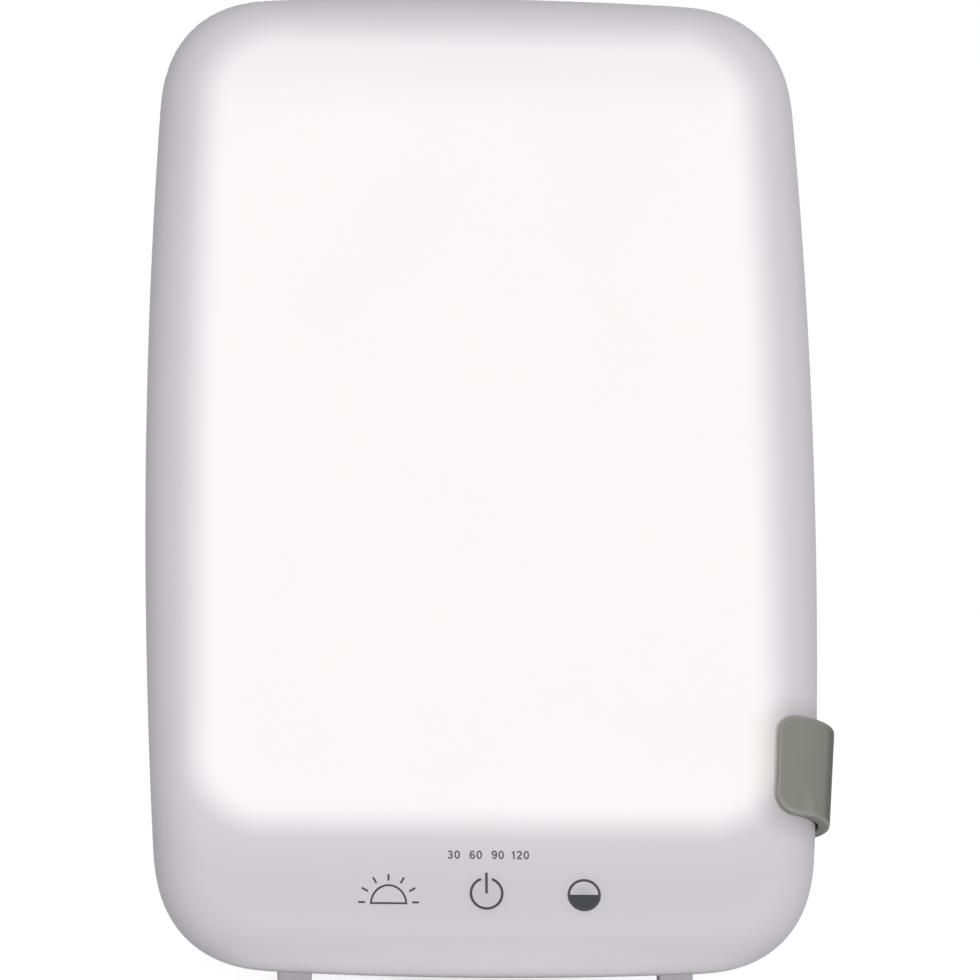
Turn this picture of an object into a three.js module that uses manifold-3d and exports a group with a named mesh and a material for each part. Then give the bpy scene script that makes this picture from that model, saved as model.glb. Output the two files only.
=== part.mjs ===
import * as THREE from 'three';
import { mergeVertices } from 'three/addons/utils/BufferGeometryUtils.js';
import Module from 'manifold-3d';

const wasm = await Module();
wasm.setup();

// All sizes in millimetres. Panel axes: x to the right, y into the lamp, z up from the panel's centre.
// y = 0 is the seam between the opal front cover and the rear housing.
const lean = THREE.MathUtils.degToRad(20);
const gap = 0.3;
const over = 1; // how far a cutter runs past the face that it opens

const outline = { width: 226.5, height: 350, corner: 40.8, power: 2.6, sideBow: 6.25, endBow: 4 };
const outlineSteps = { corner: 10, side: 5, end: 4 };
const cover = { round: 16, depth: 17, wall: 2.4, rimSteps: 7 };
const rear = { round: 13, depth: 15, wall: 2.4, rimSteps: 6 };

// The lit field behind the opal cover, and the stack of sheets that makes it.
const field = { halfWidth: 95, bottom: -130, top: 156, corner: 27 };
const diffuser = { front: -14.3, thickness: 1.5 };
const tray = { front: -12.5, back: -1.6, wall: 1.2, taper: 10, margin: 1, cutOver: 0.05 };
const leadNotch = { halfWidth: 4.5, front: -4.8, bottom: -126, top: -114 };
const plate = { front: -1.3, thickness: 1.5, inset: 7, corner: 18 };
const strip = { xs: [-75, -45, -15, 15, 45, 75], halfWidth: 5, bottom: -107.5, top: 138, thickness: 1 };
const chip = { count: 9, halfSize: 1.75, height: 0.8, sunk: 0.2, first: -99, pitch: 28.5 };
const bus = { halfWidth: 74, bottom: -115.8, top: -107.8, thickness: 1 };

// Timer lights and touch keys in the plain strip under the lit field.
const board = { halfWidth: 41, bottom: -166.5, top: -131, front: -10.5, thickness: 1.6 };
const mask = { halfWidth: 37.6, bottom: -160.5, top: -134, front: -14.3, back: -11 };
const maskRoom = { side: 0.9, end: 1.2, pad: 0.4, screw: 0.5 };
const keys = { sunrise: -32.2, power: -0.6, dimmer: 31.4 };
const keyPad = { z: -151.6, radius: 4.7, front: -14.3, back: -10.8 };
const timers = { 30: -11.2, 60: -4, 90: 3.3, 120: 10.7 };
const timerLed = { z: -138.7, halfWidth: 1.6, halfHeight: 0.8, front: -12, back: -10.7 };

// Pieces on the back of the control board, and the leads that reach them.
const inductor = { x: 20, z: -150, radius: 5.5, well: 3.6, core: 2, height: 5, floor: 1.2 };
const capacitor = { x: 6, z: -152, radius: 3.2, height: 8 };
const controlChip = { left: -12, right: -7, bottom: -154, top: -150, height: 1.5 };
const inletPlug = { left: -34, right: -26, bottom: -158, top: -151, height: 6 };
const stripPlug = { left: -5, right: 5, bottom: -141, top: -135, height: 6 };
const lead = { radius: 0.8, inletSpread: 1.4, stripSpread: 2, steps: 18 };

// Fixings.
const housingScrew = { head: 2.8, headHeight: 1.9, shank: 1.35, length: 12.6, seat: 7.2, play: 0.1 };
const housingScrewAt = [[92, 150], [97.5, 10], [88, -147]];
const boss = { radius: 3.8, coverFront: -5.4, hole: 1.65, counterbore: 3.2 };
const bossRib = { reach: 21, front: -3.4, halfWidth: 1 };
const plateScrew = { head: 2.6, headHeight: 1.6, shank: 1.2, length: 8, hole: 1.5, spare: 3 };
const plateScrewAt = [[60, 120], [60, -70]];
const boardScrewAt = [[38.4, -162.4], [38.4, -134]];
const post = { radius: 2.6, hole: 1.5, plateRadius: 3.2, boardHole: 1.4, boardRoom: 14.5 };

// Back of the housing: socket, vents and the bare field where a label would be.
const socket = { x: -60, z: -146, outer: 5.6, bore: 1.9, pin: 0.65, depth: 9, length: 14, flange: 6.8 };
const socketSeat = { sunk: 0.2, flangeDepth: 1.3, recess: 1.6, pinBack: 1.4, pinRoot: 1 };
const socketCollar = { wider: 2, depth: 5 };
const vent = { count: 11, pitch: 9, halfWidth: 1.3, depth: 6 };
const ventRows = [{ bottom: 100, top: 132 }, { bottom: -78, top: -56 }];
const labelField = { halfWidth: 34, bottom: 14, top: 58, depth: 0.5 };

// Sliding stand: a band in a lipped channel, wrapped round the right edge as a grey clip.
const slot = { z: -107.5, left: -41, floor: 10.5, halfHeight: 17.2, mouth: 14.4, lip: 2, wall: 2.4 };
const band = { left: -38, halfHeight: 16.8, neck: 14, flangeIn: 10.8, flangeOut: 12.7, back: 16.5 };
const clip = { inner: 1.2, outer: 5.2, edgeRound: 1.8, slant: 0.077, armStart: 92, armOverlap: 5.5 };
const clipPlay = 0.4;
const tongue = { tip: 95.85, slant: 0.053, highCorner: 5.5, lowCorner: 7 };
const tongueCut = { back: 10, depth: 30, wider: 2, reach: 12 };
const slotCut = { right: 10, out: 10, mouthEnd: 4 };
const lining = { inner: 0.35, outer: 0.9, halfHeight: 14.6, tipInset: 2.2, backAngle: 8 };

// Hinged leg behind the lamp, at rest on the table.
const hinge = { y: 22, barrel: 5, bore: 2.25, inner: 21, outer: 33, leg: 19.6, boreReach: 40 };
const hingePinSize = { radius: 2, head: 3.2, clearance: 0.4, intoHead: 1, headLength: 1.6 };
const washer = { radius: 4.6, hole: 2.3, thickness: 0.8, offset: 19.9 };
const leg = { length: 107, halfWidth: 32, thickness: 5, start: 7.5, heel: 11, heelFront: 0.5, spare: 6 };
const legRib = { height: 3.2, width: 3, inset: 1.2, from: 16, to: 84 };
const legPad = { halfWidth: 30, thickness: 2, overhang: 0.4 };
const foot = { xs: [-62.6, 62.9], halfWidth: 5.9, depth: 11, proud: 1.9, behind: 1.5, height: 9 };
const footEdge = { round: 1.3, in: 0.5, up: 0.4, lowY: 4.5, lowRise: 1.8 };

const stripNames = ['a', 'b', 'c', 'd', 'e', 'f'];

// Solids

function toSolid(geometry) {
  geometry.deleteAttribute('normal');
  geometry.deleteAttribute('uv');
  const merged = mergeVertices(geometry, 1e-4);
  const index = merged.index.array;
  const kept = [];
  for (let i = 0; i < index.length; i += 3) {
    const [a, b, c] = [index[i], index[i + 1], index[i + 2]];
    if (a !== b && b !== c && c !== a) kept.push(a, b, c);
  }
  return new wasm.Manifold(new wasm.Mesh({
    numProp: 3,
    vertProperties: new Float32Array(merged.attributes.position.array),
    triVerts: new Uint32Array(kept),
  }));
}

function toGeometry(solid) {
  const mesh = solid.getMesh();
  const geometry = new THREE.BufferGeometry();
  geometry.setAttribute('position', new THREE.BufferAttribute(new Float32Array(mesh.vertProperties), 3));
  geometry.setIndex(new THREE.BufferAttribute(new Uint32Array(mesh.triVerts), 1));
  geometry.computeVertexNormals();
  return geometry;
}

function addPart(group, name, solid, material) {
  const mesh = new THREE.Mesh(toGeometry(solid), material);
  mesh.name = name;
  group.add(mesh);
}

function block(x0, x1, y0, y1, z0, z1) {
  const geometry = new THREE.BoxGeometry(x1 - x0, y1 - y0, z1 - z0);
  geometry.translate((x0 + x1) / 2, (y0 + y1) / 2, (z0 + z1) / 2);
  return toSolid(geometry);
}

// Round bar between two values on one axis, through the given point on the other two.
function bar(radius, axis, from, to, first, second, sides = 16) {
  const geometry = new THREE.CylinderGeometry(radius, radius, Math.abs(to - from), sides);
  const middle = (from + to) / 2;
  if (axis === 'x') {
    geometry.rotateZ(Math.PI / 2);
    geometry.translate(middle, first, second);
  } else {
    geometry.translate(first, middle, second);
  }
  return toSolid(geometry);
}

function joinAll(solids) {
  return solids.reduce((sum, solid) => sum.add(solid));
}

function cutAll(solid, cutters) {
  return cutters.reduce((rest, cutter) => rest.subtract(cutter), solid);
}

function moved(solid, matrix) {
  return solid.transform(matrix.elements);
}

// Outlines and lofts

function bowed(x, z) {
  const halfWidth = outline.width / 2;
  const halfHeight = outline.height / 2;
  return new THREE.Vector2(
    x * (1 - (outline.sideBow / halfWidth) * (z / halfHeight) ** 2),
    z * (1 - (outline.endBow / halfHeight) * (x / halfWidth) ** 2),
  );
}

function halfWidthAt(z) {
  return outline.width / 2 - outline.sideBow * (z / (outline.height / 2)) ** 2;
}

// One quarter of the outline, from the middle of the right side to the middle of the top.
function quarterOutline() {
  const flatX = outline.width / 2 - outline.corner;
  const flatZ = outline.height / 2 - outline.corner;
  const points = [];
  for (let i = 0; i < outlineSteps.side; i += 1) {
    points.push([outline.width / 2, (flatZ * i) / outlineSteps.side]);
  }
  for (let i = 0; i < outlineSteps.corner; i += 1) {
    const angle = (Math.PI / 2) * (i / outlineSteps.corner);
    points.push([
      flatX + outline.corner * Math.cos(angle) ** (2 / outline.power),
      flatZ + outline.corner * Math.sin(angle) ** (2 / outline.power),
    ]);
  }
  for (let i = 0; i <= outlineSteps.end; i += 1) {
    points.push([flatX * (1 - i / outlineSteps.end), outline.height / 2]);
  }
  return points;
}

function fullOutline() {
  const quarter = quarterOutline();
  const left = quarter.slice(0, -1).reverse().map(([x, z]) => [-x, z]);
  const upper = [...quarter, ...left];
  const lower = upper.slice(1, -1).map(([x, z]) => [-x, -z]);
  return [...upper, ...lower].map(([x, z]) => bowed(x, z));
}

const basePoints = fullOutline();

// The panel's outline, moved inwards by the inset.
function outlineRing(inset, y) {
  const count = basePoints.length;
  return basePoints.map((point, i) => {
    const before = basePoints[(i + count - 1) % count];
    const after = basePoints[(i + 1) % count];
    const along = after.clone().sub(before).normalize();
    return [point.x - along.y * inset, y, point.y + along.x * inset];
  });
}

function roundedRing(halfWidth, bottom, top, radius, y, steps = 5) {
  const corners = [
    [halfWidth - radius, top - radius, 0],
    [radius - halfWidth, top - radius, 1],
    [radius - halfWidth, bottom + radius, 2],
    [halfWidth - radius, bottom + radius, 3],
  ];
  return corners.flatMap(([x, z, turn]) => Array.from({ length: steps + 1 }, (_, i) => {
    const angle = (Math.PI / 2) * (turn + i / steps);
    return [x + radius * Math.cos(angle), y, z + radius * Math.sin(angle)];
  }));
}

function capTriangles(start, count, centre) {
  return Array.from({ length: count }, (_, i) => [start + i, centre, start + ((i + 1) % count)]).flat();
}

// Closed solid through rings that follow one another along y, from high y to low y.
function loft(rings) {
  const count = rings[0].length;
  const last = rings.length - 1;
  const ends = [rings[0], rings[last]].map((ring) => [0, 1, 2].map(
    (k) => ring.reduce((sum, point) => sum + point[k], 0) / count,
  ));
  const positions = [...rings.flat(), ...ends];
  const index = [];
  for (let r = 0; r < last; r += 1) {
    for (let i = 0; i < count; i += 1) {
      const next = (i + 1) % count;
      const [a, b, c, d] = [r * count + i, r * count + next, (r + 1) * count + next, (r + 1) * count + i];
      index.push(a, b, c, a, c, d);
    }
  }
  index.push(...capTriangles(0, count, positions.length - 2));
  const lastCap = capTriangles(last * count, count, positions.length - 1);
  for (let i = 0; i < lastCap.length; i += 3) {
    index.push(lastCap[i], lastCap[i + 2], lastCap[i + 1]);
  }
  const geometry = new THREE.BufferGeometry();
  geometry.setAttribute('position', new THREE.Float32BufferAttribute(positions.flat(), 3));
  geometry.setIndex(index);
  return toSolid(geometry);
}

// Rings of the cover's rim, from the seam to the flat front.
function coverRings(grow) {
  return Array.from({ length: cover.rimSteps + 1 }, (_, i) => {
    const angle = (Math.PI / 2) * (i / cover.rimSteps);
    const inset = cover.round - (cover.round + grow) * Math.cos(angle);
    return outlineRing(inset, -(cover.depth + grow) * Math.sin(angle));
  });
}

// Rings of the housing's rim, from the flat back to the last one before the seam.
function rearRings(grow) {
  return Array.from({ length: rear.rimSteps }, (_, i) => {
    const angle = (Math.PI / 2) * (1 - i / rear.rimSteps);
    const inset = rear.round - (rear.round + grow) * Math.cos(angle);
    return outlineRing(inset, (rear.depth + grow) * Math.sin(angle));
  });
}

function wholePanel(grow) {
  return loft([...rearRings(grow), ...coverRings(grow)]);
}

function mirrored(points) {
  return points.flatMap(([x, z]) => [[-x, z], [x, z]]);
}

// Front cover and rear housing

function frontCover() {
  const outside = loft(coverRings(0));
  const inside = loft([outlineRing(cover.wall, over), ...coverRings(-cover.wall)]);
  const shell = outside.subtract(inside);
  const bosses = mirrored(housingScrewAt).flatMap(([x, z]) => {
    const end = x + Math.sign(x) * bossRib.reach;
    const rib = block(Math.min(x, end), Math.max(x, end), bossRib.front, -gap,
      z - bossRib.halfWidth, z + bossRib.halfWidth);
    return [bar(boss.radius, 'y', boss.coverFront, -gap, x, z), rib];
  });
  const grown = joinAll([shell, joinAll(bosses).intersect(outside)]);
  const holes = mirrored(housingScrewAt).map(
    ([x, z]) => bar(boss.hole, 'y', boss.coverFront - over, over, x, z, 12),
  );
  return cutAll(grown, holes);
}

function housingShell() {
  const outside = loft([...rearRings(0), outlineRing(0, gap)]);
  const inside = loft([...rearRings(-rear.wall), outlineRing(rear.wall, -over)]);
  const backWall = rear.depth - over;
  const cheek = slot.halfHeight + slot.wall;
  const bed = block(slot.left - slot.wall, outline.width / 2, slot.floor - slot.wall, rear.depth + over,
    slot.z - cheek, slot.z + cheek);
  const pads = mirrored(housingScrewAt).map(
    ([x, z]) => bar(boss.radius + 1, 'y', gap, backWall, x, z),
  );
  const plateBosses = mirrored(plateScrewAt).map(
    ([x, z]) => bar(post.plateRadius, 'y', plate.front + plate.thickness + gap, backWall, x, z),
  );
  const boardPosts = mirrored(boardScrewAt).map(
    ([x, z]) => bar(post.radius, 'y', board.front + board.thickness + gap, backWall, x, z),
  );
  const collar = bar(socket.flange + socketCollar.wider, 'y', rear.depth - socketCollar.depth, backWall,
    socket.x, socket.z);
  const inner = joinAll([bed, ...pads, ...plateBosses, collar]).intersect(outside);
  return joinAll([outside.subtract(inside), inner, ...boardPosts]);
}

function slotCutters() {
  const right = outline.width / 2 + slotCut.right;
  const outward = rear.depth + slotCut.out;
  const low = slot.z - slot.halfHeight;
  const high = slot.z + slot.halfHeight;
  return [
    block(slot.left, right, slot.floor, rear.depth - slot.lip, low, high),
    block(slot.left, right, slot.floor, outward, slot.z - slot.mouth, slot.z + slot.mouth),
    block(clip.armStart + slotCut.mouthEnd, right, slot.floor, outward, low, high),
  ];
}

function ventCutters(row) {
  return Array.from({ length: vent.count }, (_, i) => {
    const x = (i - (vent.count - 1) / 2) * vent.pitch;
    return block(x - vent.halfWidth, x + vent.halfWidth, rear.depth - vent.depth, rear.depth + over,
      row.bottom, row.top);
  });
}

function rearHousing() {
  const screwHoles = mirrored(housingScrewAt).flatMap(([x, z]) => [
    bar(boss.hole, 'y', -over, rear.depth + over, x, z, 12),
    bar(boss.counterbore, 'y', housingScrew.seat, rear.depth + over, x, z),
  ]);
  const plateHoles = mirrored(plateScrewAt).map(
    ([x, z]) => bar(post.hole, 'y', plate.front, plateScrew.length + plateScrew.spare, x, z, 12),
  );
  const boardHoles = mirrored(boardScrewAt).map(
    ([x, z]) => bar(post.hole, 'y', board.front - over, board.front + post.boardRoom, x, z, 12),
  );
  const labelRecess = block(-labelField.halfWidth, labelField.halfWidth, rear.depth - labelField.depth,
    rear.depth + over, labelField.bottom, labelField.top);
  const socketHole = bar(socket.outer + gap, 'y', 0, rear.depth + over, socket.x, socket.z);
  const flangeHole = bar(socket.flange + gap, 'y', rear.depth - socketSeat.recess, rear.depth + over,
    socket.x, socket.z);
  return cutAll(housingShell(), [
    ...slotCutters(),
    clipBlank(clipPlay, slot.halfHeight, 0),
    ...ventRows.flatMap(ventCutters),
    ...screwHoles,
    ...plateHoles,
    ...boardHoles,
    labelRecess,
    socketHole,
    flangeHole,
  ]);
}

// Light engine

function diffuserPlate() {
  const rings = [diffuser.front + diffuser.thickness, diffuser.front].map(
    (y) => roundedRing(field.halfWidth, field.bottom, field.top, field.corner, y, 8),
  );
  return loft(rings);
}

function trayBlank(grow, overrun) {
  const backInset = tray.taper - grow;
  const back = roundedRing(field.halfWidth - backInset, field.bottom + backInset, field.top - backInset,
    field.corner - backInset, tray.back + overrun);
  const inset = tray.margin - grow;
  const front = roundedRing(field.halfWidth - inset, field.bottom + inset, field.top - inset,
    field.corner - inset, tray.front - overrun);
  return loft([back, front]);
}

function reflectorTray() {
  const notch = block(-leadNotch.halfWidth, leadNotch.halfWidth, leadNotch.front, 0, leadNotch.bottom,
    leadNotch.top);
  return cutAll(trayBlank(0, 0), [trayBlank(-tray.wall, tray.cutOver), notch]);
}

function carrierPlate() {
  const rings = [plate.front + plate.thickness, plate.front].map((y) => roundedRing(
    field.halfWidth - plate.inset, field.bottom + plate.inset, field.top - plate.inset, plate.corner, y,
  ));
  const holes = mirrored(plateScrewAt).map(
    ([x, z]) => bar(plateScrew.hole, 'y', plate.front - over, plate.front + plate.thickness + over, x, z, 12),
  );
  return cutAll(loft(rings), holes);
}

function ledStrip(x) {
  const back = plate.front - gap;
  const front = back - strip.thickness;
  const base = block(x - strip.halfWidth, x + strip.halfWidth, front, back, strip.bottom, strip.top);
  const chips = Array.from({ length: chip.count }, (_, i) => {
    const z = chip.first + i * chip.pitch;
    return block(x - chip.halfSize, x + chip.halfSize, front - chip.height, front + chip.sunk,
      z - chip.halfSize, z + chip.halfSize);
  });
  return joinAll([base, ...chips]);
}

function stripBus() {
  const back = plate.front - gap;
  return block(-bus.halfWidth, bus.halfWidth, back - bus.thickness, back, bus.bottom, bus.top);
}

// Controls

function controlBoard() {
  const body = block(-board.halfWidth, board.halfWidth, board.front, board.front + board.thickness,
    board.bottom, board.top);
  const holes = mirrored(boardScrewAt).map(
    ([x, z]) => bar(post.boardHole, 'y', board.front - over, board.front + board.thickness + over, x, z, 12),
  );
  return cutAll(body, holes);
}

function lightMask() {
  const body = block(-mask.halfWidth, mask.halfWidth, mask.front, mask.back, mask.bottom, mask.top);
  const wells = Object.values(timers).map((x) => block(
    x - timerLed.halfWidth - maskRoom.side, x + timerLed.halfWidth + maskRoom.side,
    mask.front - over, mask.back + over,
    timerLed.z - timerLed.halfHeight - maskRoom.end, timerLed.z + timerLed.halfHeight + maskRoom.end,
  ));
  const rounds = Object.values(keys).map(
    (x) => bar(keyPad.radius + maskRoom.pad, 'y', mask.front - over, mask.back + over, x, keyPad.z),
  );
  const screwRelief = mirrored(boardScrewAt).map(
    ([x, z]) => bar(plateScrew.head + maskRoom.screw, 'y', mask.front - over, mask.back + over, x, z),
  );
  return cutAll(body, [...wells, ...rounds, ...screwRelief]);
}

function touchPad(x) {
  return bar(keyPad.radius, 'y', keyPad.front, keyPad.back, x, keyPad.z);
}

function timerLight(x) {
  return block(x - timerLed.halfWidth, x + timerLed.halfWidth, timerLed.front, timerLed.back,
    timerLed.z - timerLed.halfHeight, timerLed.z + timerLed.halfHeight);
}

// Where pieces on the back of the control board begin.
const boardBack = board.front + board.thickness + gap;

function driverInductor() {
  const { x, z, height } = inductor;
  const drum = bar(inductor.radius, 'y', boardBack, boardBack + height, x, z, 18);
  const well = bar(inductor.well, 'y', boardBack + inductor.floor, boardBack + height + over, x, z, 12);
  const core = bar(inductor.core, 'y', boardBack, boardBack + height, x, z, 12);
  return drum.subtract(well).add(core);
}

function driverCapacitor() {
  return bar(capacitor.radius, 'y', boardBack, boardBack + capacitor.height, capacitor.x, capacitor.z);
}

function boardBlock(size) {
  return block(size.left, size.right, boardBack, boardBack + size.height, size.bottom, size.top);
}

function wire(points) {
  const path = new THREE.CatmullRomCurve3(points.map((point) => new THREE.Vector3(...point)));
  const section = new THREE.Shape();
  section.absarc(0, 0, lead.radius, 0, Math.PI * 2, false);
  const geometry = new THREE.ExtrudeGeometry(section, {
    steps: lead.steps, curveSegments: 4, bevelEnabled: false, extrudePath: path,
  });
  return toSolid(geometry);
}

// From the socket's tail, down and across to the inlet connector; side is 1 or -1.
function inletLead(side) {
  const offset = side * lead.inletSpread;
  const start = rear.depth - socket.length - gap;
  return wire([
    [socket.x + offset, start, socket.z],
    [socket.x + offset, start - 3, socket.z],
    [socket.x + 8, start - 5.4, socket.z - 3 + offset],
    [inletPlug.left - 8, -5.4, -153.5 + offset],
    [inletPlug.left - 0.4, -5.6, -154.5 + offset],
  ]);
}

// From the strip connector up through the tray's notch to the bus; side is 1 or -1.
function stripLead(side) {
  const offset = side * lead.stripSpread;
  return wire([
    [offset, -5.6, stripPlug.top + 0.4],
    [offset, -5, -131],
    [offset, -3.2, -125],
    [offset, -2.6, -120],
    [offset, -2.5, bus.bottom - gap],
  ]);
}

// Socket and screws

function powerSocket() {
  const { x, z } = socket;
  const face = rear.depth - socketSeat.sunk;
  const body = bar(socket.outer, 'y', rear.depth - socket.length, face, x, z);
  const flange = bar(socket.flange, 'y', rear.depth - socketSeat.flangeDepth, face, x, z);
  const bottom = rear.depth - socket.depth;
  const bore = bar(socket.bore, 'y', bottom, rear.depth + over, x, z);
  const pin = bar(socket.pin, 'y', bottom - socketSeat.pinRoot, rear.depth - socketSeat.pinBack, x, z, 10);
  return body.add(flange).subtract(bore).add(pin);
}

// Screw along y: direction 1 has its head towards the back, -1 towards the front.
function screw(size, x, z, seat, direction) {
  const head = bar(size.head, 'y', seat, seat + direction * size.headHeight, x, z, 12);
  const inHead = seat + (direction * size.headHeight) / 2;
  const shank = bar(size.shank, 'y', inHead, seat - direction * size.length, x, z, 8);
  return head.add(shank);
}

// Sliding band and clip

function arcPoints(centreX, reachX, reachY, from, to, steps) {
  return Array.from({ length: steps + 1 }, (_, i) => {
    const angle = THREE.MathUtils.degToRad(from + ((to - from) * i) / steps);
    return [centreX + reachX * Math.cos(angle), reachY * Math.sin(angle)];
  });
}

// Plan of the wrap round the lamp's right edge; spread thickens it on both faces.
function wrapPlan(inner, outer, inside, outside, spread) {
  const edge = halfWidthAt(slot.z);
  const frontX = edge - cover.round;
  const backX = edge - rear.round;
  const [near, far] = [inner - spread, outer + spread];
  return [
    [clip.armStart, outside + spread],
    ...arcPoints(backX, rear.round + far, outside + spread, 90, 0, 8),
    ...arcPoints(frontX, cover.round + far, -(cover.depth + far), 0, 90, 9).slice(1),
    [clip.armStart, -(cover.depth + far)],
    [clip.armStart, -(cover.depth + near)],
    ...arcPoints(frontX, cover.round + near, -(cover.depth + near), 90, 0, 9),
    ...arcPoints(backX, rear.round + near, inside - spread, 0, 90, 8).slice(1),
    [clip.armStart, inside - spread],
  ];
}

function extruded(points, halfHeight, edgeRound) {
  const plan = new THREE.Shape(points.map(([x, y]) => new THREE.Vector2(x, y)));
  const depth = 2 * (halfHeight - edgeRound);
  const geometry = new THREE.ExtrudeGeometry(plan, {
    depth,
    bevelEnabled: edgeRound > 0,
    bevelThickness: edgeRound,
    bevelSize: edgeRound,
    bevelOffset: -edgeRound,
    bevelSegments: 2,
  });
  geometry.translate(0, 0, slot.z - depth / 2);
  return toSolid(geometry);
}

function slanted(solid) {
  const shear = new THREE.Matrix4().set(
    1, 0, clip.slant, -clip.slant * slot.z,
    0, 1, 0, 0,
    0, 0, 1, 0,
    0, 0, 0, 1,
  );
  return moved(solid, shear);
}

function clipBlank(spread, halfHeight, edgeRound) {
  return slanted(extruded(wrapPlan(clip.inner, clip.outer, band.flangeOut, band.back, spread),
    halfHeight, edgeRound));
}

// What is cut away left of the tongue's slanted, round-cornered end.
function tongueCutter(tipX, halfHeight) {
  const tip = (z) => tipX + tongue.slant * (z - slot.z);
  const [top, bottom] = [slot.z + halfHeight, slot.z - halfHeight];
  const far = outline.width / 2 + tongueCut.reach;
  const { highCorner, lowCorner } = tongue;
  const keep = new THREE.Shape();
  keep.moveTo(far, bottom);
  keep.lineTo(far, top);
  keep.lineTo(tip(top) + highCorner, top);
  keep.quadraticCurveTo(tip(top), top, tip(top - highCorner), top - highCorner);
  keep.lineTo(tip(bottom + lowCorner), bottom + lowCorner);
  keep.quadraticCurveTo(tip(bottom), bottom, tip(bottom) + lowCorner, bottom);
  const geometry = new THREE.ExtrudeGeometry(keep, {
    depth: tongueCut.depth + 2 * over, bevelEnabled: false, curveSegments: 5,
  });
  geometry.rotateX(Math.PI / 2);
  geometry.translate(0, over, 0);
  return block(clip.armStart - tongueCut.back, far - over, -tongueCut.depth, 0,
    bottom - tongueCut.wider, top + tongueCut.wider).subtract(toSolid(geometry));
}

function standBand() {
  const wrap = clipBlank(0, band.halfHeight, clip.edgeRound)
    .subtract(tongueCutter(tongue.tip, band.halfHeight));
  const join = clip.armStart + clip.armOverlap;
  const flange = block(band.left, join, band.flangeIn, band.flangeOut, slot.z - band.halfHeight,
    slot.z + band.halfHeight);
  const arm = block(band.left, join, band.flangeIn + gap, band.back, slot.z - band.neck, slot.z + band.neck);
  const barrels = [-1, 1].flatMap((side) => {
    const [from, to] = [side * hinge.inner, side * hinge.outer];
    const web = block(Math.min(from, to), Math.max(from, to), band.back - over, hinge.y,
      slot.z - hinge.barrel, slot.z + hinge.barrel);
    return [bar(hinge.barrel, 'x', from, to, hinge.y, slot.z, 20), web];
  });
  const whole = joinAll([wrap, flange, arm, ...barrels]);
  return whole.subtract(hingeBore(hinge.bore));
}

function hingeBore(radius) {
  return bar(radius, 'x', -hinge.boreReach, hinge.boreReach, hinge.y, slot.z, 20);
}

function clipLining() {
  const edge = halfWidthAt(slot.z);
  const [near, far] = [lining.inner, lining.outer];
  const backReach = band.flangeOut - clip.inner;
  const frontX = edge - cover.round;
  const backX = edge - rear.round;
  const plan = [
    ...arcPoints(backX, rear.round + far, backReach + far, lining.backAngle, 0, 3),
    ...arcPoints(frontX, cover.round + far, -(cover.depth + far), 0, 90, 9).slice(1),
    ...arcPoints(frontX, cover.round + near, -(cover.depth + near), 90, 0, 9),
    ...arcPoints(backX, rear.round + near, backReach + near, 0, lining.backAngle, 3).slice(1),
  ];
  return slanted(extruded(plan, lining.halfHeight, 0))
    .subtract(tongueCutter(tongue.tip + lining.tipInset, lining.halfHeight));
}

// Hinge and leg

function hingePin() {
  const reach = hinge.outer + hingePinSize.clearance;
  const rodEnd = reach + hingePinSize.intoHead;
  const headEnd = reach + hingePinSize.headLength;
  return joinAll([
    bar(hingePinSize.radius, 'x', -rodEnd, rodEnd, hinge.y, slot.z, 16),
    bar(hingePinSize.head, 'x', -headEnd, -reach, hinge.y, slot.z, 16),
    bar(hingePinSize.head, 'x', reach, headEnd, hinge.y, slot.z, 16),
  ]);
}

function hingeWasher(side) {
  const [from, to] = [side * washer.offset, side * (washer.offset + washer.thickness)];
  return bar(washer.radius, 'x', from, to, hinge.y, slot.z, 20).subtract(hingeBore(washer.hole));
}

// Leg in hinge axes: y along the panel's normal, z up the panel; tilt is its droop below that normal.
function legSolid(tilt) {
  const half = leg.thickness / 2;
  const reach = leg.length + leg.spare;
  const plateSolid = block(-leg.halfWidth, leg.halfWidth, leg.start, reach, -half, half);
  const neck = block(-hinge.leg, hinge.leg, 0, leg.start + over, -half, half);
  const ribs = [-1, 1].map((side) => {
    const outer = side * (leg.halfWidth - legRib.inset);
    const inner = outer - side * legRib.width;
    return block(Math.min(outer, inner), Math.max(outer, inner), legRib.from, legRib.to,
      -half - legRib.height, 0);
  });
  const tilted = new THREE.Matrix4().makeRotationX(-tilt);
  const swung = moved(joinAll([plateSolid, neck, ...ribs]), tilted);
  const heelFace = -(hinge.y - band.back) + gap;
  const heel = block(-hinge.leg, hinge.leg, heelFace, -leg.heelFront, -leg.heel, 0);
  const barrel = bar(hinge.barrel, 'x', -hinge.leg, hinge.leg, 0, 0, 20);
  const bore = bar(hinge.bore, 'x', -hinge.boreReach, hinge.boreReach, 0, 0, 20);
  return joinAll([swung, heel, barrel]).subtract(bore);
}

// Feet

function footPad(x, lowPoint) {
  const half = foot.halfWidth;
  const face = new THREE.Shape();
  face.moveTo(-half, foot.height);
  face.lineTo(-half, footEdge.round);
  face.lineTo(-half + footEdge.in, footEdge.up);
  face.lineTo(-half + footEdge.round, 0);
  face.lineTo(half - footEdge.round, 0);
  face.lineTo(half - footEdge.in, footEdge.up);
  face.lineTo(half, footEdge.round);
  face.lineTo(half, foot.height);
  const geometry = new THREE.ExtrudeGeometry(face, { depth: foot.depth, bevelEnabled: false });
  geometry.rotateX(Math.PI / 2);
  geometry.translate(x, lowPoint - foot.behind + foot.depth, 0);
  return toSolid(geometry);
}

// Materials

function finish(color, roughness, metalness = 0) {
  return new THREE.MeshStandardMaterial({ color, roughness, metalness });
}

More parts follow.
